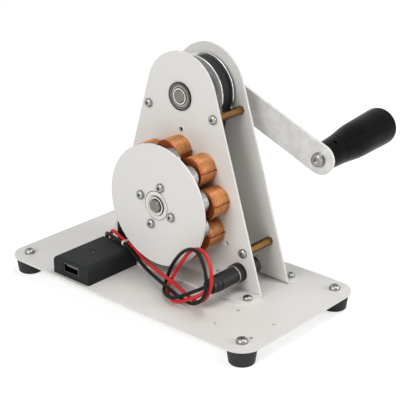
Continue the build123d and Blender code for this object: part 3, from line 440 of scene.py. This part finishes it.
@dataclass(frozen=True)
class TurnedFace(WorkedMetal):
    """A turned face with rings of grey painted by radius where its shoulders and grooves are.

    Each band is a radius in millimetres and the grey seen there, 0 to 255: the face's own grey, painted
    highlights on its shoulders and painted shade in its grooves and gaps.
    """

    tone_light_shade_rings: tuple[tuple[float, float], ...] = ()
    reach: float = 12.0
    scuffs: float = 500.0
    scuffed: Colour = (0.8, 0.79, 0.77)
    scuff_share: float = 0.5
    warmth: Colour = (1.0, 0.985, 0.96)

    def tone(self, sheet: NodeSheet) -> Socket:
        """The rings' greys by radius, with painted highlights and shade, slightly warm and unevenly scuffed.

        Args:
            sheet: The material's node tree.

        Returns:
            The colour.
        """
        share = sheet.tree.nodes.new("ShaderNodeMath")
        share.operation = "DIVIDE"
        share.inputs[1].default_value = self.reach * MM
        height = ROTOR_Z if self.lay is Lay.ROTOR_RINGS else CRANK_Z
        sheet.link(sheet.radius(height), share.inputs[0])
        ramp = sheet.tree.nodes.new("ShaderNodeValToRGB")
        sheet.link(share.outputs[0], ramp.inputs["Fac"])
        stops = ramp.color_ramp.elements
        stops.remove(stops[1])
        # each stop paints the grey of one ring, its highlight or shade included
        for number, (radius, grey) in enumerate(self.tone_light_shade_rings):
            stop = stops[0] if number == 0 else stops.new(radius / self.reach)
            stop.position = radius / self.reach
            stop.color = (*linear(*(grey * part for part in self.warmth)), 1.0)
        worn = sheet.spread(sheet.noise(self.scuffs), 0.0, self.scuff_share)
        return sheet.over(worn, ramp.outputs["Color"], self.scuffed, "MULTIPLY")


@dataclass(frozen=True)
class NickelPlate(Finish):
    """Bright plating over a slightly uneven sintered body."""

    scuffs: float = 900.0
    dents: float = 420.0
    dent_depth: float = 0.00012
    edge: float = 0.0003
    metallic: float = 1.0
    scuff_shade: float = 0.7

    swing: ClassVar[tuple[float, float]] = (0.0, 0.2)

    def dress(self, sheet: NodeSheet) -> None:
        """Adds shallow dents, and scuffs that dull the plating.

        Args:
            sheet: The material's node tree.
        """
        sheet.fix("Metallic", self.metallic)
        scuffs = sheet.noise(self.scuffs, 6.0, rough=0.7)
        sheet.feed("Base Color", sheet.blend(scuffs, self.shaded(self.scuff_shade), self.colour))
        self.vary_gloss(sheet, scuffs)
        sheet.relief(sheet.noise(self.dents), self.dent_depth, self.edge)


@dataclass(frozen=True)
class EnamelledCopper(Finish):
    """Copper wire under clear enamel, with a different tone from turn to turn and painted shade on its front
    end.
    """

    # dark is the darker tone of the random spots, and also the painted shade on the front end
    dark: Colour = linear(150, 74, 40)
    front_shade_strength: float = 0.7
    turns: Point = (90.0, 2400.0, 90.0)
    turn_depth: float = 0.00004
    turn_shade: float = 0.8
    spots: float = 260.0
    spot_share: float = 0.35
    metallic: float = 0.6
    specular: float = 0.25
    coat: float = 0.1
    coat_roughness: float = 0.3
    front: tuple[float, float] = (-0.95, -0.5)  # the normal's Y where the painted front shade is full and where it is none

    swing: ClassVar[tuple[float, float]] = (-0.06, 0.1)

    def painted_front_shade(self, sheet: NodeSheet) -> Socket:
        """How much varnish darkens the coil's front end.

        Args:
            sheet: The material's node tree.

        Returns:
            How much painted shade darkens the coil's front end, by how far a face turns to the front.
        """
        facing = sheet.tree.nodes.new("ShaderNodeSeparateXYZ")
        normal = sheet.tree.nodes.new("ShaderNodeNewGeometry").outputs["Normal"]
        sheet.link(normal, facing.inputs[0])
        share = sheet.tree.nodes.new("ShaderNodeMapRange")
        sheet.link(facing.outputs["Y"], share.inputs["Value"])
        share.inputs["From Min"].default_value, share.inputs["From Max"].default_value = self.front
        share.inputs["To Min"].default_value = self.front_shade_strength
        share.inputs["To Max"].default_value = 0.0
        return share.outputs["Result"]

    def dress(self, sheet: NodeSheet) -> None:
        """Adds tone that changes along the coil, darker spots, painted shade on the front end and the
        enamel's gloss.

        Args:
            sheet: The material's node tree.
        """
        sheet.fix("Metallic", self.metallic)
        sheet.fix("Specular IOR Level", self.specular)
        sheet.fix("Coat Weight", self.coat)
        sheet.fix("Coat Roughness", self.coat_roughness)
        turns = sheet.noise(1.0, 3.0, sheet.mapped(self.turns), 0.6)
        tone = sheet.blend(turns, self.shaded(self.turn_shade), self.colour)
        spots = sheet.spread(sheet.noise(self.spots, 4.0), 0.0, self.spot_share)
        tone = sheet.over(spots, tone, self.dark)
        # painted shade: faces turned to the front get the dark colour, standing in for the shade at the
        # coil's front rim
        sheet.feed("Base Color", sheet.over(self.painted_front_shade(sheet), tone, self.dark))
        self.vary_gloss(sheet, turns)
        sheet.relief(turns, self.turn_depth, 0.0)


@dataclass(frozen=True)
class Moulded(Finish):
    """Moulded plastic or rubber with a fine texture."""

    grain: float = 1500.0
    depth: float = 0.00003
    sheen: float = 0.0
    edge: float = 0.0003
    specular: float = 0.3
    marks: float = 90.0
    mark_shades: tuple[float, float] = (0.8, 1.15)

    swing: ClassVar[tuple[float, float]] = (-0.06, 0.08)

    def dress(self, sheet: NodeSheet) -> None:
        """Adds the mould's texture, and faint handling marks in tone and gloss.

        Args:
            sheet: The material's node tree.
        """
        sheet.fix("Sheen Weight", self.sheen)
        sheet.fix("Specular IOR Level", self.specular)
        marks = sheet.noise(self.marks, 5.0, rough=0.6)
        low, high = self.mark_shades
        sheet.feed("Base Color", sheet.blend(marks, self.shaded(low), self.shaded(high)))
        self.vary_gloss(sheet, marks)
        sheet.relief(sheet.noise(self.grain, 2.0), self.depth, self.edge)


@dataclass(frozen=True)
class Polished(Finish):
    """Polished plastic with hairline scratches."""

    specular: float = 0.3
    dust: float = 200.0
    dust_shade: float = 1.5
    scratches: Point = (700.0, 60.0, 900.0)
    scratch_depth: float = 0.00001
    edge: float = 0.0002

    swing: ClassVar[tuple[float, float]] = (-0.04, 0.08)

    def dress(self, sheet: NodeSheet) -> None:
        """Adds the scratches, and a little dust in the tone.

        Args:
            sheet: The material's node tree.
        """
        sheet.fix("Specular IOR Level", self.specular)
        dust = sheet.noise(self.dust, 5.0)
        sheet.feed("Base Color", sheet.blend(dust, self.colour, self.shaded(self.dust_shade)))
        hair = sheet.noise(1.0, 4.0, sheet.mapped(self.scratches), 0.6)
        self.vary_gloss(sheet, hair)
        sheet.relief(hair, self.scratch_depth, self.edge)


WHITE_PAINT = PowderCoat("white_paint", linear(222, 220, 216), 0.42)
FOOT_RUBBER = Moulded("foot_rubber", linear(50, 50, 50), 0.66, grain=1100.0, depth=0.00004, specular=0.2)
SCREW_STEEL = WorkedMetal("screw_steel", linear(160, 160, 156), 0.24, fineness=1400.0)
BLACK_OXIDE = WorkedMetal("black_oxide", linear(48, 47, 46), 0.4, fineness=1800.0)
# grey rings on the bearings' and the boss's faces: the metal's own grey, with painted highlights on the
# shoulders and painted shade in the grooves and gaps
RACE_TONE_LIGHT_SHADE = (
    (4.05, 50), (4.3, 205), (4.9, 200), (5.15, 70), (5.6, 60), (5.75, 205), (6.1, 150), (6.6, 120),
    (6.85, 45), (7.1, 130), (7.5, 110), (7.75, 45), (8.0, 74), (8.35, 80), (8.65, 50),
)
BOSS_TONE_LIGHT_SHADE = (
    (4.0, 40), (4.3, 50), (4.5, 228), (5.5, 228), (5.9, 215), (6.1, 70), (6.35, 90), (6.55, 224),
    (8.75, 224), (9.0, 95), (9.15, 80), (9.3, 206),
)
BEARING_STEEL = TurnedFace(
    "bearing_steel", linear(140, 136, 130), 0.26, Lay.CRANK_RINGS, 3200.0, tone_light_shade_rings=RACE_TONE_LIGHT_SHADE
)
ROTOR_BEARING_STEEL = TurnedFace(
    "rotor_bearing_steel", linear(140, 136, 130), 0.26, Lay.ROTOR_RINGS, 3200.0, tone_light_shade_rings=RACE_TONE_LIGHT_SHADE
)
HUB_FACE = TurnedFace(
    "hub_face", linear(224, 223, 220), 0.36, Lay.ROTOR_RINGS, 2400.0, metallic=0.3, tone_light_shade_rings=BOSS_TONE_LIGHT_SHADE
)
CRANK_SHAFT_STEEL = WorkedMetal("crank_shaft_steel", linear(126, 121, 115), 0.22, Lay.CRANK_RINGS, 3000.0)
ROTOR_SHAFT_STEEL = WorkedMetal("rotor_shaft_steel", linear(126, 121, 115), 0.22, Lay.ROTOR_RINGS, 3000.0)
STANDOFF_BRASS = WorkedMetal("standoff_brass", linear(124, 90, 50), 0.28, fineness=1600.0)
BELT_RUBBER = Moulded("belt_rubber", linear(34, 34, 35), 0.6, grain=1300.0, depth=0.00005, specular=0.2)
PULLEY_METAL = WorkedMetal("pulley_metal", linear(206, 208, 206), 0.4, Lay.CRANK_RINGS, 1800.0, 0.00003, 0.6)
SMALL_PULLEY_METAL = WorkedMetal(
    "small_pulley_metal", linear(206, 208, 206), 0.4, Lay.ROTOR_RINGS, 1800.0, 0.00003, 0.6
)
RIM_METAL = WorkedMetal("rim_metal", linear(216, 216, 217), 0.2, Lay.CRANK_RINGS, 2600.0)
ARM_METAL = WorkedMetal("arm_metal", linear(230, 229, 227), 0.4, Lay.ARM, 2200.0, 0.00001, metallic=0.35)
HUB_METAL = WorkedMetal("hub_metal", linear(206, 206, 206), 0.34, Lay.ROTOR_RINGS, 2400.0, metallic=0.7)
CONTACT_METAL = WorkedMetal("contact_metal", linear(205, 204, 201), 0.18, fineness=1200.0)
SHELL_METAL = WorkedMetal("shell_metal", linear(120, 119, 116), 0.24, fineness=1200.0)
MAGNET_NICKEL = NickelPlate("magnet_nickel", linear(172, 171, 166), 0.16)
COIL_COPPER = EnamelledCopper("coil_copper", linear(254, 186, 120), 0.3)
CORE_COPPER = EnamelledCopper("core_copper", linear(190, 104, 66), 0.4)
# dark copper for the rods that paint the dark band of a reflection on each coil
REFLECTION_ROD_COPPER = EnamelledCopper("reflection_rod_copper", linear(136, 58, 32), 0.5)
BLACK_PLASTIC = Moulded("black_plastic", linear(22, 22, 23), 0.42, grain=1700.0)
MODULE_PLASTIC = Moulded(
    "module_plastic", linear(33, 35, 35), 0.6, grain=1300.0, depth=0.00005, specular=0.15
)
HANDLE_PLASTIC = Polished("handle_plastic", linear(14, 14, 13), 0.22, specular=0.03)
BOARD_GREEN = Moulded("board_green", linear(22, 92, 58), 0.3, grain=700.0)
FERRITE = Moulded("ferrite", linear(74, 74, 76), 0.7, grain=2200.0, depth=0.00008)
TONGUE_PLASTIC = Moulded("tongue_plastic", linear(96, 95, 92), 0.4, grain=1500.0)
LENS_DARK = Polished("lens_dark", linear(24, 20, 20), 0.12)
RED_INSULATION = Moulded("red_insulation", linear(204, 34, 36), 0.36, grain=1500.0, edge=0.0)
BLACK_INSULATION = Moulded(
    "black_insulation", linear(20, 20, 20), 0.4, grain=1500.0, edge=0.0, specular=0.15
)
TIE_CREAM = Moulded("tie_cream", linear(232, 226, 212), 0.45, grain=1500.0)


class Wardrobe:
    """Builds each finish once and puts it on nodes and pieces."""

    def __init__(self) -> None:
        """Starts with no material built."""
        self.built: dict[str, bpy.types.Material] = {}

    def material(self, finish: Finish) -> bpy.types.Material:
        """Builds the material of a finish on its first use.

        Args:
            finish: The finish.

        Returns:
            Its material.
        """
        if finish.name not in self.built:
            self.built[finish.name] = finish.material()
        return self.built[finish.name]

    def node(self, name: str, finish: Finish) -> None:
        """Dresses a CAD node.

        Args:
            name: Name of the node.
            finish: Its finish.
        """
        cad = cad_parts[name]
        for slot in cad.material_slots:
            slot.material = self.material(finish)
        LOG.info("%s wears %s", name, finish.name)

    def piece(self, obj: bpy.types.Object, finish: Finish) -> None:
        """Dresses a new piece.

        Args:
            obj: The piece.
            finish: Its finish.
        """
        obj.data.materials.clear()
        obj.data.materials.append(self.material(finish))
        LOG.info("%s wears %s", obj.name, finish.name)


def shown(name: str, data: bpy.types.ID) -> bpy.types.Object:
    """Puts a mesh, curve, light or camera into the scene.

    Args:
        name: Name of the object.
        data: What it shows.

    Returns:
        The object, at the origin.
    """
    obj = bpy.data.objects.new(name, data)
    bpy.context.scene.collection.objects.link(obj)
    return obj


@dataclass
class PhotoCamera:
    """The camera of the photograph, worked out from the machine's edges."""

    place: Point = (0.44004, -0.50443, 0.32136)
    azimuth: float = 41.72
    elevation: float = 22.11
    roll: float = -0.16
    focal_pixels: float = 1140.49
    picture_pixels: float = 400.0
    sensor: float = 36.0
    near: float = 0.02
    far: float = 50.0

    def make(self) -> None:
        """Creates the camera and makes it the scene's own."""
        data = bpy.data.cameras.new("photo_camera")
        data.sensor_width = self.sensor
        data.lens = self.focal_pixels / self.picture_pixels * self.sensor
        data.clip_start = self.near
        data.clip_end = self.far
        camera = shown("photo_camera", data)
        turn, tilt = math.radians(self.azimuth), math.radians(self.elevation)
        level = math.cos(tilt)
        ahead = Vector((-math.sin(turn) * level, math.cos(turn) * level, -math.sin(tilt)))
        camera.rotation_mode = "QUATERNION"
        rolled = Quaternion((0, 0, 1), math.radians(self.roll))
        camera.rotation_quaternion = ahead.to_track_quat("-Z", "Y") @ rolled
        camera.location = self.place
        bpy.context.scene.camera = camera
        LOG.info("camera placed")


@dataclass
class Wires:
    """The two supply wires from the power module to the plug, tied near the module.

    Each point is an X, a distance behind the base's middle and a height above the base plate, in
    millimetres.
    """

    diameter: float = 0.0022
    red_length: float = 0.2537
    black_length: float = 0.2608
    round_steps: int = 5
    along_steps: int = 8
    order: int = 3
    red_route: tuple[Point, ...] = (
        (-50.5, -10.5, 6), (-50.5, -6, 6), (-53, -5.5, 11), (-51, -6, 15), (-45, -8, 15),
        (-38, -10, 14), (-31.5, -11.5, 13.75), (-25, -13, 12.5), (-16.5, -14.5, 9.5), (-5.5, -18, 8),
        (7, -22, 8), (18.5, -24.5, 7.5), (28, -26, 5), (35.5, -27, 3), (43, -29, 3),
        (50.5, -30.5, 8), (55.5, -32, 15.5), (57, -32.5, 23), (56, -31.5, 29.5), (52.5, -30, 34),
        (47, -28, 37), (40, -26, 36), (32, -24, 30.5), (24.5, -21.5, 21.5), (17.5, -19, 12.5),
        (15, -20.5, 7), (15, -23.5, 3.5), (17, -26.5, 1.5), (23, -32, 1.5), (30, -35, 1.5),
        (36.5, -35, 4), (42, -33.5, 7), (46.5, -31, 9.5), (48, -28.5, 11.5), (47.2, -25.5, 10.8),
        (47.2, -22.5, 10.8),
    )
    black_route: tuple[Point, ...] = (
        (-54, -10.5, 5), (-54, -6, 5), (-56, -6.2, 8.5), (-54.5, -8, 12.5), (-50.5, -9.8, 13.5),
        (-44, -11.4, 13.5), (-37.8, -13, 13.5), (-31.5, -14.2, 13.95), (-25.5, -15.8, 12.5), (-15.5, -17, 7),
        (-4.5, -20, 4.5), (8, -25, 5), (19.5, -28.5, 4.5), (28, -30, 3), (36, -31, 2),
        (43.5, -32.5, 3.5), (50.5, -33.5, 8.5), (54.5, -34.5, 15.5), (55.5, -35, 22.5), (54, -34.5, 29),
        (50.5, -33, 33.5), (45.5, -31, 37), (38.5, -29, 36.5), (29.5, -26.5, 31), (20.5, -23, 22),
        (12.5, -19, 12.5), (11, -20.5, 6), (12.5, -25, 2), (19, -32, 2.5), (27, -35.5, 3.5),
        (32.5, -35.5, 5.5), (37.5, -34, 8), (43, -32.5, 11.5), (47, -28.5, 13.5), (45.9, -25.5, 13.2),
        (45.9, -22.5, 13.2),
    )

    def spline(self, name: str, route: tuple[Point, ...]) -> bpy.types.Object:
        """Draws a round wire through a route.

        Args:
            name: Name of the piece.
            route: The route's points.

        Returns:
            The wire.
        """
        data = bpy.data.curves.new(name, "CURVE")
        data.dimensions = "3D"
        data.bevel_depth = 1.0  # times each point's radius, which also sets the wire's box
        data.bevel_resolution = self.round_steps
        data.resolution_u = self.along_steps
        data.use_fill_caps = True
        line = data.splines.new("NURBS")
        line.points.add(len(route) - 1)
        for spot, (x, back, up) in zip(line.points, route):
            spot.co = (x * MM, BASE_Y + back * MM, BASE_TOP + up * MM, 1.0)
            spot.radius = self.diameter / 2
        line.order_u = self.order
        line.use_endpoint_u = True
        return shown(name, data)

    def make(self, wardrobe: Wardrobe) -> None:
        """Makes both wires and dresses what is on them.

        Args:
            wardrobe: Where the finishes come from.
        """
        red = self.spline("red_wire_flex", self.red_route)
        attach(red, "frame")
        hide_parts("red_wire")
        wardrobe.piece(red, RED_INSULATION)
        black = self.spline("black_wire_flex", self.black_route)
        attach(black, "frame")
        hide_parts("black_wire")
        wardrobe.piece(black, BLACK_INSULATION)
        wardrobe.node("wire_tie", TIE_CREAM)
        wardrobe.node("dc_plug", BLACK_PLASTIC)
        wardrobe.node("plug_barrel", CONTACT_METAL)


@dataclass
class Chassis:
    """The base plate on its feet, the two uprights and what holds them together."""

    painted: tuple[str, ...] = ("base_plate", "front_upright", "rear_upright")
    steel: tuple[str, ...] = ("foot_screws", "foot_nuts", "flange_screws", "flange_nuts", "standoff_screws")

    def make(self, wardrobe: Wardrobe) -> None:
        """Dresses the chassis.

        Args:
            wardrobe: Where the finishes come from.
        """
        for name in self.painted:
            wardrobe.node(name, WHITE_PAINT)
        for name in self.steel:
            wardrobe.node(name, SCREW_STEEL)
        wardrobe.node("rubber_feet", FOOT_RUBBER)
        wardrobe.node("hex_standoffs", STANDOFF_BRASS)
        wardrobe.node("bearing_outer_races", BEARING_STEEL)


@dataclass
class CrankDrive:
    """The crank shaft with its large pulley, and the belt down to the small one."""

    rims: tuple[str, ...] = ("drive_pulley_front_rim", "drive_pulley_rear_rim")

    def make(self, wardrobe: Wardrobe) -> None:
        """Dresses the drive.

        Args:
            wardrobe: Where the finishes come from.
        """
        wardrobe.node("crank_shaft", CRANK_SHAFT_STEEL)
        wardrobe.node("crank_inner_races", BEARING_STEEL)
        wardrobe.node("drive_pulley", PULLEY_METAL)
        for name in self.rims:
            wardrobe.node(name, RIM_METAL)
        wardrobe.node("drive_set_screw", BLACK_OXIDE)
        wardrobe.node("timing_belt", BELT_RUBBER)


@dataclass
class CrankArm:
    """The sheet arm, its hub and the turning handle."""

    steel: tuple[str, ...] = ("arm_clamp_washer", "arm_clamp_screw", "handle_washer", "handle_bolt")

    def make(self, wardrobe: Wardrobe) -> None:
        """Dresses the arm and the handle.

        Args:
            wardrobe: Where the finishes come from.
        """
        wardrobe.node("crank_arm", ARM_METAL)
        wardrobe.node("arm_hub", ARM_METAL)
        for name in self.steel:
            wardrobe.node(name, SCREW_STEEL)
        wardrobe.node("handle_collar", HANDLE_PLASTIC)
        wardrobe.node("handle_grip", HANDLE_PLASTIC)


@dataclass
class Rotor:
    """The magnet disc, its hub and the small pulley on the lower shaft."""

    def make(self, wardrobe: Wardrobe) -> None:
        """Dresses the rotor.

        Args:
            wardrobe: Where the finishes come from.
        """
        wardrobe.node("rotor_shaft", ROTOR_SHAFT_STEEL)
        wardrobe.node("rotor_inner_races", ROTOR_BEARING_STEEL)
        wardrobe.node("rotor_disc", WHITE_PAINT)
        wardrobe.node("rotor_hub", HUB_FACE)
        wardrobe.node("rotor_spacer", HUB_METAL)
        wardrobe.node("rotor_set_screws", BLACK_OXIDE)
        wardrobe.node("hub_screws", SCREW_STEEL)
        wardrobe.node("rotor_magnets", MAGNET_NICKEL)
        wardrobe.node("driven_pulley", SMALL_PULLEY_METAL)


@dataclass
class Stator:
    """The ring of coils with a dark rod along each that paints a reflection, and the rectifier that they
    feed.
    """

    count: int = 9
    circle: float = 0.03015
    reflection_rod_place: float = 0.00925
    reflection_rod_angle: float = math.radians(6.0)
    reflection_rod_back: float = FRONT_Y - 0.0004
    reflection_rod_length: float = 0.0127
    reflection_rod_radius: float = 0.0004
    reflection_rod_sides: int = 12

    # each rod paints the dark band that a reflection leaves along a coil's lower right side; it is painted
    # reflection, not a part of the coil
    def dark_reflection_rods(self) -> bpy.types.Object:
        """Lays a thin dark rod straight back along each coil's outside, a painted dark band of reflection
        rather than a wire end.

        Returns:
            The nine leads.
        """
        shape = bmesh.new()
        along = Matrix.Rotation(math.radians(90.0), 4, "X")
        for number in range(self.count):
            turn = math.radians(90.0 + 360.0 / self.count * number)
            x = self.circle * math.cos(turn) + self.reflection_rod_place * math.cos(self.reflection_rod_angle)
            z = ROTOR_Z + self.circle * math.sin(turn) + self.reflection_rod_place * math.sin(self.reflection_rod_angle)
            middle = Matrix.Translation((x, self.reflection_rod_back - self.reflection_rod_length / 2, z))
            bmesh.ops.create_cone(
                shape, cap_ends=True, segments=self.reflection_rod_sides, radius1=self.reflection_rod_radius,
                radius2=self.reflection_rod_radius, depth=self.reflection_rod_length, matrix=middle @ along,
            )
        bmesh.ops.recalc_face_normals(shape, faces=shape.faces)
        for face in shape.faces:
            face.smooth = len(face.verts) == 4
        mesh = bpy.data.meshes.new("painted_reflection_rods")
        shape.to_mesh(mesh)
        shape.free()
        return shown("painted_reflection_rods", mesh)

    def make(self, wardrobe: Wardrobe) -> None:
        """Lays the dark rods that paint a reflection on the coils, and dresses the coils and the rectifier.

        Args:
            wardrobe: Where the finishes come from.
        """
        dark_reflection_rods = self.dark_reflection_rods()
        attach(dark_reflection_rods, "frame")
        wardrobe.piece(dark_reflection_rods, REFLECTION_ROD_COPPER)
        wardrobe.node("coil_windings", COIL_COPPER)
        wardrobe.node("coil_cores", CORE_COPPER)
        wardrobe.node("coil_posts", HUB_METAL)
        wardrobe.node("coil_screws", SCREW_STEEL)
        wardrobe.node("rectifier", BLACK_PLASTIC)
        wardrobe.node("rectifier_screw", SCREW_STEEL)
        wardrobe.node("rectifier_nut", SCREW_STEEL)


@dataclass
class PowerModule:
    """The small case with the port, and the socket on the upright."""

    def make(self, wardrobe: Wardrobe) -> None:
        """Dresses the module and the socket.

        Args:
            wardrobe: Where the finishes come from.
        """
        wardrobe.node("usb_case_lid", MODULE_PLASTIC)
        wardrobe.node("usb_case_floor", MODULE_PLASTIC)
        wardrobe.node("module_board", BOARD_GREEN)
        wardrobe.node("module_inductor", FERRITE)
        wardrobe.node("usb_shell", SHELL_METAL)
        wardrobe.node("usb_tongue", TONGUE_PLASTIC)
        wardrobe.node("power_led", LENS_DARK)
        wardrobe.node("dc_jack", BLACK_PLASTIC)
        wardrobe.node("jack_collar", BLACK_PLASTIC)
        wardrobe.node("jack_ring", CONTACT_METAL)
        wardrobe.node("jack_pin", CONTACT_METAL)
        wardrobe.node("jack_tags", CONTACT_METAL)


@dataclass(frozen=True)
class SoftLamp:
    """A square soft lamp that points at the machine."""

    name: str
    place: Point
    size: float
    watts: float
    aim: Point = (0.0, -0.02, 0.07)

    def hang(self) -> None:
        """Hangs the lamp in the scene."""
        data = bpy.data.lights.new(self.name, "AREA")
        data.size = self.size
        data.energy = self.watts
        lamp = shown(self.name, data)
        lamp.location = self.place
        lamp.rotation_mode = "QUATERNION"
        lamp.rotation_quaternion = (Vector(self.aim) - Vector(self.place)).to_track_quat("-Z", "Y")


@dataclass
class Studio:
    """A white floor in a white room under three soft lamps."""

    floor_half: float = 1.0
    floor_shade: float = 0.82
    floor_roughness: float = 0.9
    floor_glow: float = 0.55
    ambient: float = 0.17
    lamps: tuple[SoftLamp, ...] = (
        SoftLamp("key_lamp", (0.05, -1.5, 0.85), 1.0, 18.0),
        SoftLamp("top_lamp", (0.3, 0.25, 1.6), 0.8, 10.0),
        SoftLamp("side_lamp", (1.4, 0.55, 0.6), 0.7, 12.0),
    )

    def seen(self, tree: bpy.types.NodeTree) -> Socket:
        """Tells rays from the camera, a reflection or a clear material from the others.

        Args:
            tree: The node tree that asks.

        Returns:
            One for those rays and zero for the others.
        """
        path = tree.nodes.new("ShaderNodeLightPath")
        value = path.outputs["Is Camera Ray"]
        for name in ("Is Glossy Ray", "Is Transmission Ray"):
            either = tree.nodes.new("ShaderNodeMath")
            either.operation = "MAXIMUM"
            tree.links.new(value, either.inputs[0])
            tree.links.new(path.outputs[name], either.inputs[1])
            value = either.outputs[0]
        return value

    def sky(self) -> None:
        """Lights the scene evenly and shows plain white behind it."""
        world = bpy.data.worlds.new("white_room")
        world.use_nodes = True
        tree = world.node_tree
        back = tree.nodes["Background"]
        back.inputs["Color"].default_value = WHITE
        level = tree.nodes.new("ShaderNodeMapRange")
        level.inputs["To Min"].default_value = self.ambient
        level.inputs["To Max"].default_value = 1.0
        tree.links.new(self.seen(tree), level.inputs["Value"])
        tree.links.new(level.outputs["Result"], back.inputs["Strength"])
        bpy.context.scene.world = world

    def floor(self) -> None:
        """Lays a plain pale floor that keeps the machine's shadow."""
        shape = bmesh.new()
        bmesh.ops.create_grid(shape, x_segments=1, y_segments=1, size=self.floor_half)
        mesh = bpy.data.meshes.new("studio_floor")
        shape.to_mesh(mesh)
        shape.free()
        floor = shown("studio_floor", mesh)
        sheet = NodeSheet("studio_floor")
        shade = self.floor_shade
        sheet.shader.inputs["Base Color"].default_value = (shade, shade, shade, 1.0)
        sheet.fix("Roughness", self.floor_roughness)
        sheet.fix("Specular IOR Level", 0.0)
        sheet.shader.inputs["Emission Color"].default_value = WHITE
        glow = sheet.tree.nodes.new("ShaderNodeMath")
        glow.operation = "MULTIPLY"
        glow.inputs[1].default_value = self.floor_glow
        sheet.link(self.seen(sheet.tree), glow.inputs[0])
        sheet.feed("Emission Strength", glow.outputs[0])
        mesh.materials.append(sheet.material)

    def make(self) -> None:
        """Sets the floor, the room and the lamps."""
        self.floor()
        self.sky()
        for lamp in self.lamps:
            lamp.hang()
        LOG.info("studio lit")


def main() -> None:
    """Builds the machine's looks, in order."""
    logging.basicConfig(level=logging.INFO, format="%(message)s")
    bpy.context.scene.view_settings.view_transform = "Standard"
    wardrobe = Wardrobe()
    PhotoCamera().make()
    Wires().make(wardrobe)
    for assembly in (Chassis(), CrankDrive(), CrankArm(), Rotor(), Stator(), PowerModule()):
        assembly.make(wardrobe)
        LOG.info("%s finished", type(assembly).__name__)
    Studio().make()


if __name__ == "__main__":
    main()
